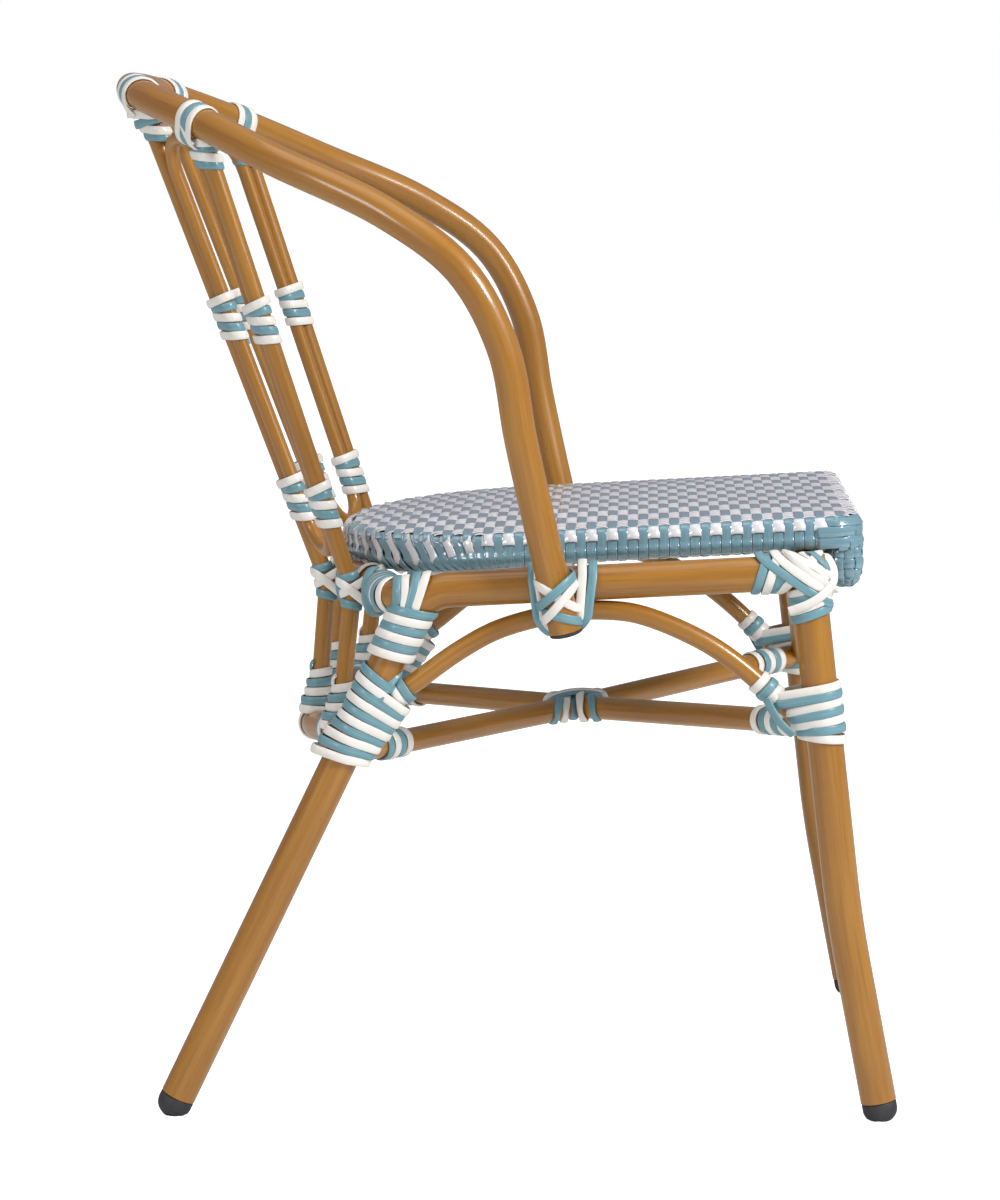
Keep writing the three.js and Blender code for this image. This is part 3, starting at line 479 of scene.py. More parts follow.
def strip_finish(name, blues, whites, gloss, coat):
    """Flat plastic strip, blue or white by its own shade, with faint streaks along it."""
    material, tree, shader = new_finish(name, Coat_Weight=coat, Coat_Roughness=0.18, Coat_IOR=1.85)
    swept = add_node(tree, "ShaderNodeAttribute", attribute_name="swept").outputs["Vector"]
    shade = add_node(tree, "ShaderNodeAttribute", attribute_name="shade").outputs["Fac"]
    streak = add_node(tree, "ShaderNodeGroup", {"Place": swept, "Across": 900.0, "Along": 30.0, "Detail": 3.0},
                      node_tree=STREAKS).outputs[0]
    drift = add_node(tree, "ShaderNodeGroup", {"Scale": 30.0}, node_tree=DRIFT).outputs[0]
    blue = mix_colour(tree, ramp_value(tree, streak, 0.35, 0.65), *blues)
    white = mix_colour(tree, ramp_value(tree, drift, 0.0, 1.0), *whites)
    tree.links.new(mix_colour(tree, shade, blue, white), shader.inputs["Base Color"])
    tree.links.new(ramp_value(tree, drift, 0.0, 1.0, *gloss), shader.inputs["Roughness"])
    bump = add_node(tree, "ShaderNodeBump", {"Height": streak, "Distance": 0.00006, "Strength": 0.6})
    tree.links.new(bump.outputs[0], shader.inputs["Normal"])
    return material


def moulded_finish(name, dark, pale, roughness, metallic=0.0):
    """A plain part with a fine mottled skin: moulded charcoal plastic, or bare metal."""
    material, tree, shader = new_finish(name, Metallic=metallic)
    place = add_node(tree, "ShaderNodeTexCoord").outputs["Object"]
    skin = add_node(tree, "ShaderNodeTexNoise", {"Vector": place, "Scale": 900.0, "Detail": 3.0})
    drift = add_node(tree, "ShaderNodeGroup", {"Scale": 60.0}, node_tree=DRIFT).outputs[0]
    tree.links.new(mix_colour(tree, drift, dark, pale), shader.inputs["Base Color"])
    tree.links.new(ramp_value(tree, skin.outputs["Fac"], 0.3, 0.7, roughness, roughness + 0.15),
                   shader.inputs["Roughness"])
    bump = add_node(tree, "ShaderNodeBump", {"Height": skin.outputs["Fac"], "Distance": 0.0001, "Strength": 0.5})
    tree.links.new(bump.outputs[0], shader.inputs["Normal"])
    return material


CANE = cane_finish()
LASHING = strip_finish("lashing_strip", (srgb(96, 141, 153), srgb(116, 160, 170)),
                       (srgb(240, 237, 231), srgb(228, 223, 215)), (0.38, 0.48), 0.15)
WEAVE = strip_finish("seat_strip", (srgb(92, 134, 150), srgb(112, 153, 167)),
                     (srgb(226, 226, 229), srgb(212, 212, 216)), (0.3, 0.4), 1.0)
CHARCOAL = moulded_finish("charcoal_plastic", srgb(38, 39, 42), srgb(58, 59, 62), 0.55)
BARE_METAL = moulded_finish("bare_metal", srgb(140, 142, 145), srgb(165, 167, 170), 0.35, 1.0)

ROUND_BAR = round_bar_tree()
FLAT_STRIP = flat_strip_tree()


def bar(name, run, radius, closed=False, sides=32, finish=CANE, slot="tube"):
    """A smooth tube that stands for the solid of the same name."""
    piece = grow(name + "_tube", [Route(run, None, BLUE, closed)], ROUND_BAR,
                 {"Radius": radius, "Sides": sides, "Material": finish})
    return settle(piece, slot, name)


# Side frames


def rear_leg_at(side, z):
    share = z / REAR_CORNER_Z
    return Vector((REAR_FOOT_X + (REAR_CORNER_X - REAR_FOOT_X) * share, side * LEG_HALF_SPAN, z))


def front_leg_at(side, z):
    if z > FRONT_KNEE_Z:
        share = (z - FRONT_KNEE_Z) / (FRONT_CORNER_Z - FRONT_KNEE_Z)
        x = FRONT_KNEE_X + (FRONT_CORNER_X - FRONT_KNEE_X) * share
    else:
        x = FRONT_FOOT_X + (FRONT_KNEE_X - FRONT_FOOT_X) * z / FRONT_KNEE_Z
    return Vector((x, side * LEG_HALF_SPAN, z))


side_frames, front_legs, leg_ends = {}, {}, []
for side, side_name in SIDES.items():
    y = side * LEG_HALF_SPAN
    corner = Vector((REAR_CORNER_X, y, REAR_CORNER_Z))
    floor_point = Vector((REAR_FOOT_X, y, 0))
    rear_up = heading(floor_point, corner)
    leg_end = floor_point + rear_up * (CAP_HEIGHT / rear_up.z)
    rail_end = Vector((FRONT_CORNER_X + RAIL_NOSE, y, rail_z(FRONT_CORNER_X + RAIL_NOSE)))
    run = rounded_run([leg_end, corner, rail_end], REAR_BEND_RADIUS, 16)
    side_frames[side] = Tube(run, SIDE_RADIUS)
    bar(f"rear_leg_and_side_rail_{side_name}", run, SIDE_RADIUS)
    leg_ends.append((f"foot_cap_rear_{side_name}", leg_end, rear_up))

    floor_point = Vector((FRONT_FOOT_X, y, 0))
    knee = Vector((FRONT_KNEE_X, y, FRONT_KNEE_Z))
    top = Vector((FRONT_CORNER_X, y, FRONT_CORNER_Z))
    front_up = heading(floor_point, knee)
    leg_end = floor_point + front_up * (CAP_HEIGHT / front_up.z)
    run = rounded_run([leg_end, knee, top], FRONT_KNEE_RADIUS, 16)
    front_legs[side] = Tube(run, FRONT_LEG_RADIUS)
    bar(f"front_leg_{side_name}", run, FRONT_LEG_RADIUS)
    leg_ends.append((f"foot_cap_front_{side_name}", leg_end, front_up))

front_rail_z = seat_under_z(FRONT_CORNER_X) - FIT - FRONT_RAIL_RADIUS
bar("front_seat_rail", [Vector((FRONT_CORNER_X, side * LEG_HALF_SPAN, front_rail_z)) for side in SIDES],
    FRONT_RAIL_RADIUS)

# Turned caps: each row is a share of the cap's radius and of its height
CAP_PROFILE = (
    (0.0, 0.0), (0.9, 0.0), (0.97, 0.03), (1.0, 0.1), (1.0, 0.45), (0.96, 0.62), (0.88, 0.78),
    (0.76, 0.92), (0.6, 1.04), (0.4, 1.14), (0.2, 1.19), (0.0, 1.2),
)
CAP_SIDES = 40


def turned(name, end, down, radius, height, profile, node):
    """A cap turned round an axis and never lower than the floor."""
    sideways = down.cross(Vector((0, 1, 0))).normalized()
    across = down.cross(sideways)
    places, faces = [], []
    for reach, fall in profile:
        middle = end + down * (height * fall)
        for k in range(CAP_SIDES):
            angle = FULL_TURN * k / CAP_SIDES
            place = middle + (sideways * math.cos(angle) + across * math.sin(angle)) * max(radius * reach, TINY)
            places.append(Vector((place.x - MIDDLE_X, place.y, max(place.z, 0.0))))
    for r in range(len(profile) - 1):
        for k in range(CAP_SIDES):
            m = (k + 1) % CAP_SIDES
            faces.append((r * CAP_SIDES + k, r * CAP_SIDES + m, (r + 1) * CAP_SIDES + m, (r + 1) * CAP_SIDES + k))
    mesh = bpy.data.meshes.new(name)
    mesh.from_pydata(places, [], faces)
    piece = bpy.data.objects.new(name, mesh)
    bpy.context.scene.collection.objects.link(piece)
    tidy_faces(piece)
    mesh.materials.append(CHARCOAL)
    return settle(piece, "cap", node)


def tidy_faces(piece):
    """Closes the poles, turns the faces outwards and shades them smooth."""
    work = bmesh.new()
    work.from_mesh(piece.data)
    bmesh.ops.remove_doubles(work, verts=work.verts, dist=1e-6)
    bmesh.ops.dissolve_degenerate(work, edges=work.edges, dist=1e-7)
    bmesh.ops.recalc_face_normals(work, faces=work.faces)
    for face in work.faces:
        face.smooth = True
    work.to_mesh(piece.data)
    work.free()


for node, leg_end, upward in leg_ends:
    turned(node + "_turned", leg_end - upward * FIT, -upward, CAP_RADIUS, CAP_HEIGHT, CAP_PROFILE, node)

# Back rail and arms: shares of the way from the back's middle to the arm's foot
UPPER_ARM = (
    (0, 0, 1), (0.037, INNER_SPINDLE_Y / ARM_HALF_SPAN, 0.988), (0.189, OUTER_SPINDLE_Y / ARM_HALF_SPAN, 0.935),
    (0.375, 0.786, 0.862), (0.6196, 0.934, 0.7662),
)
LOWER_ARM = ((0.7787, 0.95, 0.6643), (0.868, 1, 0.5228), (0.905, 0.78, 0.355), (0.951, 0.3, 0.175), (1, 0, 0))


def arm_places(side):
    def placed(along, y, height):
        x = BACK_RAIL_X + (ARM_FOOT_X - BACK_RAIL_X) * along
        return Vector((x, side * y, ARM_FOOT_Z + (BACK_RAIL_Z - ARM_FOOT_Z) * height))
    upper = [placed(a, ARM_HALF_SPAN * w, h) for a, w, h in UPPER_ARM]
    lower = [placed(a, ARM_FOOT_Y + (ARM_HALF_SPAN - ARM_FOOT_Y) * w, h) for a, w, h in LOWER_ARM]
    return upper + lower


arm_run = smooth_run(arm_places(RIGHT)[::-1] + arm_places(LEFT)[1:], 160)
back_rail = Tube(arm_run, ARM_RADIUS)
bar("back_rail_and_arms", arm_run, ARM_RADIUS)
PLUG_PROFILE = ((0.0, 0.0), (0.98, 0.0), (1.0, 0.15), (1.0, 0.55), (0.93, 0.8), (0.8, 1.0), (0.5, 1.06), (0.0, 1.1))
for side, side_name in SIDES.items():
    ends = arm_run[:2] if side == RIGHT else arm_run[::-1][:2]
    down = heading(ends[1], ends[0])
    turned(f"arm_end_plug_{side_name}_turned", ends[0] + down * FIT, down, ARM_RADIUS, ARM_PLUG_DEPTH,
           PLUG_PROFILE, f"arm_end_plug_{side_name}")

# Spindles from the right to the left
Spindle = namedtuple("Spindle", "label side top bend foot up tube")
seat_hoop_z = seat_under_z(SEAT_REAR_X) - FIT - SEAT_HOOP_RADIUS


def spindle_ends(side, y, bend_x, foot_x):
    on_rail = next(place for place in arm_places(LEFT) if abs(place.y - y) < FIT)
    top = Vector((on_rail.x, side * y, on_rail.z))
    bend = Vector((bend_x, side * y, SPINDLE_BEND_Z))
    return top, bend, Vector((foot_x, side * y, LOW_HOOP_REAR_Z))


OUTER = (OUTER_SPINDLE_Y, OUTER_BEND_X, OUTER_FOOT_X)
INNER = (INNER_SPINDLE_Y, INNER_BEND_X, INNER_FOOT_X)
ends_at = {(side, which[0]): spindle_ends(side, *which) for side in SIDES for which in (OUTER, INNER)}


def seat_hoop_places(side):
    outer = ends_at[side, OUTER_SPINDLE_Y][1]
    inner = ends_at[side, INNER_SPINDLE_Y][1]
    inward = UP.cross(heading(outer, inner)) * side
    stand_off = inward * (SPINDLE_RADIUS + SEAT_HOOP_RADIUS + FIT)
    level = [Vector((p.x, p.y, seat_hoop_z)) + stand_off for p in (outer, inner)]
    start = Vector((REAR_CORNER_X, side * LEG_HALF_SPAN, rail_z(REAR_CORNER_X)))
    shoulder = Vector((REAR_CORNER_X - SEAT_HOOP_REACH, side * (LEG_HALF_SPAN - SEAT_HOOP_DRAW), seat_hoop_z))
    turn = Vector((level[0].x + SEAT_HOOP_TURN_X, side * (OUTER_SPINDLE_Y + SEAT_HOOP_TURN_Y), seat_hoop_z))
    return [start, shoulder, turn, *level]


right_hoop = seat_hoop_places(RIGHT)
hoop_apex = Vector((right_hoop[-1].x - SEAT_HOOP_BOW, 0, seat_hoop_z))
seat_hoop = Tube(smooth_run([*right_hoop, hoop_apex, *seat_hoop_places(LEFT)[::-1]], 96), SEAT_HOOP_RADIUS)
bar("seat_hoop", seat_hoop.run, SEAT_HOOP_RADIUS)


def low_hoop_places(side):
    outer_z = LOW_HOOP_REAR_Z + (LOW_HOOP_LEG_Z - LOW_HOOP_REAR_Z) * LOW_HOOP_RISE_SHARE
    return [
        rear_leg_at(side, LOW_HOOP_LEG_Z),
        Vector((OUTER_FOOT_X, side * OUTER_SPINDLE_Y, outer_z)),
        Vector((INNER_FOOT_X, side * INNER_SPINDLE_Y, LOW_HOOP_REAR_Z)),
    ]


low_apex = Vector((INNER_FOOT_X - LOW_HOOP_BOW, 0, LOW_HOOP_REAR_Z))
low_hoop = Tube(smooth_run([*low_hoop_places(RIGHT), low_apex, *low_hoop_places(LEFT)[::-1]], 96), LOW_HOOP_RADIUS)
bar("low_hoop", low_hoop.run, LOW_HOOP_RADIUS)

spindles = []
for side, which, label in ((RIGHT, OUTER, "outer_right"), (RIGHT, INNER, "inner_right"),
                           (LEFT, INNER, "inner_left"), (LEFT, OUTER, "outer_left")):
    top, bend, foot = ends_at[side, which[0]]
    foot = Vector((foot.x, foot.y, place_on(low_hoop, foot)[0].z))
    run = rounded_run([foot, bend, top], SPINDLE_BEND_RADIUS, 12)
    spindles.append(Spindle(label, side, top, bend, foot, heading(bend, top), Tube(run, SPINDLE_RADIUS)))
    bar(f"spindle_{label}", run, SPINDLE_RADIUS, sides=24)

LEG_PITCH = SPINDLE_RADIUS + LOOP_RADIUS + FIT


def loop_place(a, b, z, edge):
    """Point of a loop between two spindles: edge is -1 beside the first spindle and 1 beside the second."""
    on_a = between(a.bend, a.top, (z - a.bend.z) / (a.top.z - a.bend.z))
    on_b = between(b.bend, b.top, (z - b.bend.z) / (b.top.z - b.bend.z))
    return between(on_a, on_b, 0.5 + edge * (0.5 - LEG_PITCH / (on_b - on_a).length))


def loop_run(a, b, steps=14):
    highest = (a.top.z + b.top.z) / 2 - LOOP_TOP_DROP
    turns = [math.pi * k / steps for k in range(steps + 1)]
    upper = [loop_place(a, b, highest - LOOP_TOP_RISE * (1 - math.sin(t)), -math.cos(t)) for t in turns]
    lower = [loop_place(a, b, LOOP_FOOT_Z + LOOP_BOTTOM_RISE * (1 - math.sin(t)), math.cos(t)) for t in turns]
    return upper + lower


for label, a, b in zip(("right", "middle", "left"), spindles, spindles[1:]):
    bar(f"back_loop_{label}", loop_run(a, b), LOOP_RADIUS, closed=True, sides=20)

# Arches and crossed rods
SIDE_ARCH = (
    (0, 0), (0.0955, 0.266), (0.214, 0.633), (0.3013, 0.831), (0.44, 0.98), (0.5181, 1), (0.6, 0.965),
    (0.7335, 0.753), (0.8203, 0.532), (0.9607, 0.079), (1, 0),
)
FRONT_ARCH = ((0, 0), (0.1, 0.36), (0.25, 0.76), (0.5, 1), (0.75, 0.76), (0.9, 0.36), (1, 0))


def joint_z(side, z):
    return z - LEFT_DROP if side == LEFT else z


side_arches = {}
for side, side_name in SIDES.items():
    rear = rear_leg_at(side, joint_z(side, ARCH_REAR_Z))
    front = front_leg_at(side, joint_z(side, ARCH_FRONT_Z))
    peak_z = rail_z(ARCH_PEAK_X) - SIDE_RADIUS - FIT - ARCH_RADIUS
    places = []
    for along, rise in SIDE_ARCH:
        chord = between(rear, front, along)
        places.append(Vector((chord.x, chord.y, chord.z + (peak_z - chord.z) * rise)))
    side_arches[side] = Tube(smooth_run(places, 64), ARCH_RADIUS)
    bar(f"side_arch_{side_name}", side_arches[side].run, ARCH_RADIUS, sides=24)

arch_ends = [front_leg_at(side, joint_z(side, ARCH_FRONT_Z)) for side in SIDES]
front_peak_z = seat_under_z(FRONT_CORNER_X) - 2 * FIT - 2 * FRONT_RAIL_RADIUS - ARCH_RADIUS
places = []
for along, rise in FRONT_ARCH:
    chord = between(*arch_ends, along)
    x = chord.x + (FRONT_CORNER_X - chord.x) * rise
    places.append(Vector((x, chord.y, chord.z + (front_peak_z - chord.z) * rise)))
front_arch = Tube(smooth_run(places, 64), ARCH_RADIUS)
bar("front_arch", front_arch.run, ARCH_RADIUS, sides=24)

rod_middle = Vector((ROD_MIDDLE_X, 0, ROD_MIDDLE_Z))
rod_rear = {RIGHT: rear_leg_at(RIGHT, ROD_REAR_RIGHT_Z), LEFT: rear_leg_at(LEFT, ROD_REAR_LEFT_Z)}
rod_front = {RIGHT: front_leg_at(RIGHT, ROD_FRONT_RIGHT_Z), LEFT: front_leg_at(LEFT, ROD_FRONT_LEFT_Z)}
through_rod = Tube([rod_rear[RIGHT], rod_middle, rod_front[LEFT]], ROD_RADIUS)
half_rear = Tube([rod_middle, rod_rear[LEFT]], ROD_RADIUS)
half_front = Tube([rod_middle, rod_front[RIGHT]], ROD_RADIUS)
bar("cross_rod_through", through_rod.run, ROD_RADIUS)
bar("cross_rod_half_rear", half_rear.run, ROD_RADIUS)
bar("cross_rod_half_front", half_front.run, ROD_RADIUS)

# Wound strips
BELT_STEPS = 32
SHINGLE = 0.35


def ball(place, radius):
    """A round core in a bundle, for what has no length of its own there."""
    return (place, None, radius)


def slanting(slope):
    """Facing of the plane that shows as a line of this slope from the side and holds the Y direction."""
    return Vector((-slope, 0, 1)).normalized()


def belt(centre, facing, tubes, shade, layer=0):
    """A strip wound once round a bundle of tubes, in the plane through centre that is square to facing."""
    facing = facing.normalized()
    first = facing.orthogonal().normalized()
    second = facing.cross(first)
    ovals = []
    for place, along, radius in tubes:
        if along is None:
            ovals.append((place - facing * (place - centre).dot(facing), first * radius, second * radius, None))
            continue
        lean = along.dot(facing)
        middle = place + along * ((centre - place).dot(facing) / lean)
        long_way = along - facing * lean
        long_way = long_way.normalized() if long_way.length > 1e-4 else first
        ovals.append((middle, long_way * (radius / abs(lean)), facing.cross(long_way) * radius, along))
    lift = FIT / 2 + STRIP_THICKNESS * (0.5 + layer)
    points, outward = [], []
    for k in range(BELT_STEPS):
        angle = FULL_TURN * k / BELT_STEPS
        look = first * math.cos(angle) + second * math.sin(angle)

        def reach(oval):
            return math.hypot(oval[1].dot(look), oval[2].dot(look))
        best = max(ovals, key=lambda oval: oval[0].dot(look) + reach(oval))
        touch = best[0] + (best[1] * best[1].dot(look) + best[2] * best[2].dot(look)) / reach(best)
        away = look if best[3] is None else (look - best[3] * look.dot(best[3])).normalized()
        points.append(touch + away * lift)
        outward.append(away)
    return Route(points, outward, shade, True)


Core = namedtuple("Core", "offset radius")


def bundle_at(centre, along, radius, others):
    """The tubes and cores that a belt round one tube takes in."""
    bundle = [(centre, along, radius)]
    for other in others:
        if isinstance(other, Core):
            bundle.append(ball(centre + other.offset, other.radius))
        else:
            bundle.append((*place_on(other, centre), other.radius))
    return bundle


def rings(tube, near, rows, others=()):
    """Belts square to one tube: each row gives distance along it, colour, lean of the plane, and layer."""
    made = []
    for distance, shade, lean, layer in rows:
        centre, along = place_on(tube, near, distance)
        made.append(belt(centre, along + Vector(lean), bundle_at(centre, along, tube.radius, others), shade, layer))
    return made


def slats(tube, near, rows, others=()):
    """Belts whose planes hold the Y direction: each row gives height over a place, colour, slope and layer."""
    made = []
    for height, shade, slope, layer in rows:
        distance = 0.0
        for _ in range(6):
            centre, along = place_on(tube, near, distance)
            distance += (near.z + height - centre.z) / max(along.z, 0.2)
        bundle = bundle_at(centre, along, tube.radius, others)
        made.append(belt(centre, slanting(slope), bundle, shade, layer))
    return made


def strap(places, core, shade, steps=16):
    """An open strip over a few chosen places, facing away from a core."""
    points = smooth_run(places, steps)
    facing = []
    for k, point in enumerate(points):
        way = heading(points[max(k - 1, 0)], points[min(k + 1, steps)])
        away = point - core
        facing.append((away - way * away.dot(way)).normalized())
    return Route(points, facing, shade, False)


def bowed(route, start_z, drop, towards):
    """A belt whose lower part is drawn sideways, more and more the lower it runs."""
    points = [p + towards * (max(0.0, start_z - p.z) / drop) ** 2 for p in route.points]
    return route._replace(points=points)


def lashing(node, belts):
    piece = grow(node + "_strips", belts, FLAT_STRIP, {
        "Width": STRIP_WIDTH, "Thickness": STRIP_THICKNESS, "Bow": 0.0005, "Sides": 14, "Material": LASHING,
    })
    return settle(piece, "strip", node)


def striped(k, first=BLUE):
    """The colours take turns."""
    return first if k % 2 == 0 else WHITE - first


def group_at(index, z):
    """The loop legs beside a spindle at a height, as short straight tubes."""
    spindle = spindles[index]
    legs = []
    for a, b, edge in ((index - 1, index, 1), (index, index + 1, -1)):
        if a >= 0 and b < len(spindles):
            pair = spindles[a], spindles[b]
            legs.append(Tube([loop_place(*pair, z - 0.04, edge), loop_place(*pair, z + 0.04, edge)], LOOP_RADIUS))
    centre = between(spindle.bend, spindle.top, (z - spindle.bend.z) / (spindle.top.z - spindle.bend.z))
    return centre, legs


# Bands round the back's tube groups: height in strip pitches, colour, share of the band's slant, and layer
MID_BAND_Z, LOW_BAND_Z = 0.617, 0.472
BAND_ROWS = (
    (1.85, WHITE, 1.0, 1.0), (1.05, BLUE, 0.45, 0.0), (0.05, WHITE, 0.0, 0.4), (-0.95, BLUE, -0.08, 0.0),
    (-1.95, WHITE, 0.06, 0.4),
)
BAND_SLANTS = (0.52, 0.44, 0.3, 0.36)
for level, z in (("mid", MID_BAND_Z), ("low", LOW_BAND_Z)):
    for index, spindle in enumerate(spindles):
        centre, legs = group_at(index, z)
        rows = [(share * STRIP_PITCH, shade, slant * BAND_SLANTS[index], layer)
                for share, shade, slant, layer in BAND_ROWS]
        belts = slats(spindle.tube, centre, rows, legs)
        groove = centre + Vector((0.016, -SPINDLE_RADIUS - LOOP_RADIUS, -2.2 * STRIP_PITCH))
        if level == "mid" and spindle.label == "inner_right":
            fall = Vector((0.0025, 0.001, -0.0058))
            belts.append(strap([groove, groove + fall], centre, BLUE, 4))
            belts.append(strap([groove + fall, groove + fall * 1.9], centre, WHITE, 4))
        lashing(f"band_{level}_{spindle.label}", belts)

# Lashings under the back rail: rings on the rail, and a short stack round the group below
RAIL_DROP = ARM_RADIUS + 0.004
RAIL_STACK = (
    (0.0, WHITE, -0.04, 0.6), (0.0055, BLUE, 0.25, 0.2), (0.0115, WHITE, -0.16, 0.8), (0.0175, BLUE, -0.05, 0.0),
)
for index, spindle in enumerate(spindles):
    inner_one = spindle.label.startswith("inner")
    turned_in = (0.36 if inner_one else 0.0) * -spindle.side
    belts = rings(back_rail, spindle.top, [
        (share * STRIP_PITCH, striped(k, WHITE), (turned_in, 0, 0), 0.3) for k, share in enumerate((-1, 0, 1))
    ], [Core(Vector((0, 0, -0.002 if inner_one else -0.008)), ARM_RADIUS - 0.001)])
    centre, legs = group_at(index, spindle.top.z - RAIL_DROP)
    for k, (fall, shade, slope, layer) in enumerate(RAIL_STACK):
        draw = Core(Vector((-0.0065 + 0.0028 * k, 0, 0)), SPINDLE_RADIUS)
        belts += slats(spindle.tube, spindle.top, [(-RAIL_DROP - fall, shade, slope, layer)],
                       [*legs, draw] if inner_one else legs)
    left = spindle.top + Vector((-ARM_RADIUS - 0.001, 0, 0))
    belts.append(strap([
        left + Vector((0.001, 0, 0.004)), left + Vector((0.001, spindle.side * 0.005, -0.005)),
        left + Vector((0.005, spindle.side * 0.008, -0.013)), left + Vector((0.011, spindle.side * 0.009, -0.019)),
    ], spindle.top, WHITE))
    lashing(f"rail_lashing_{spindle.label}", belts)

    # Where the spindle passes the seat hoop: rings above and below, a cross, and rings along the hoop
    passing = Vector((spindle.bend.x, spindle.bend.y, seat_hoop_z))
    hoop_place, hoop_way = place_on(seat_hoop, passing)
    core = Core(hoop_place - passing, SEAT_HOOP_RADIUS)
    belts = slats(spindle.tube, passing, [(0.0062, BLUE, 0.27, 0), (-0.0155, BLUE, -0.25, 0)])
    belts += slats(spindle.tube, passing, [(-0.003, WHITE, 0.62, 0.6), (-0.003, WHITE, -0.8, 1.5)], [core])
    outward_way = 1 if hoop_way.y * spindle.side > 0 else -1
    belts += rings(seat_hoop, hoop_place, [
        (-outward_way * 0.0155, WHITE, (0, 0, 0), 0.8), (-outward_way * 0.0225, BLUE, (0, 0, 0), 0),
    ])
    tall = hoop_place + hoop_way * (outward_way * 0.011) + Vector((-0.004, 0, -0.005))
    belts.append(belt(tall, Vector((0.94, 0.35 * spindle.side, 0.05)), [ball(tall, 0.0175)], BLUE, 0.5))
    lashing(f"seat_hoop_lashing_{spindle.label}", belts)

    # Foot of the spindle on the low hoop: a stack that widens to the rear as it comes down
    on_low, low_way = place_on(low_hoop, spindle.foot)
    first_height, count = (0.043, 5) if inner_one else (0.0345, 5)
    belts = []
    for k in range(count):
        draw = Core(Vector((-0.0013 * k, 0, 0)), SPINDLE_RADIUS + 0.0003 * k)
        belts += slats(spindle.tube, on_low, [
            (first_height - 0.0076 * k, striped(k, WHITE), 0.2 - 0.07 * k, 0.3 + SHINGLE * (k % 2)),
        ], [draw])
    end, _ = place_on(spindle.tube, on_low, first_height)
    left = end + Vector((-SPINDLE_RADIUS - 0.0012, 0.002 * spindle.side, 0))
    belts.append(strap([
        left + UP * 0.002, left + Vector((0.0004, 0, 0.0075)), left + Vector((0.0035, 0.002 * spindle.side, 0.0105)),
    ], end, BLUE if inner_one else WHITE, 8))
    belts += rings(low_hoop, on_low, [
        (outward_way * -0.0135, WHITE, (0, 0, 0), 0.3), (outward_way * -0.0205, BLUE, (0, 0, 0), 0),
    ])
    lashing(f"low_hoop_lashing_{spindle.label}", belts)

REAR_LASH_Z, FRONT_LASH_Z = 0.302, 0.317
REAR_REACH, FRONT_REACH = 0.034, 0.039
KNOT = 0.008


def drawn_aside(slope, reach, sign):
    """A core beside a leg that draws a slanting belt out to a reach on one side."""
    return Core(Vector((1, 0, slope)).normalized() * sign * (reach - KNOT - 2 * STRIP_THICKNESS), KNOT)


FRONT_FAN = ((0.2, 0.039), (0.2, 0.040), (0.24, 0.031), (0.22, 0.028), (0.18, 0.026), (0.11, 0.022), (-0.1, 0.022))

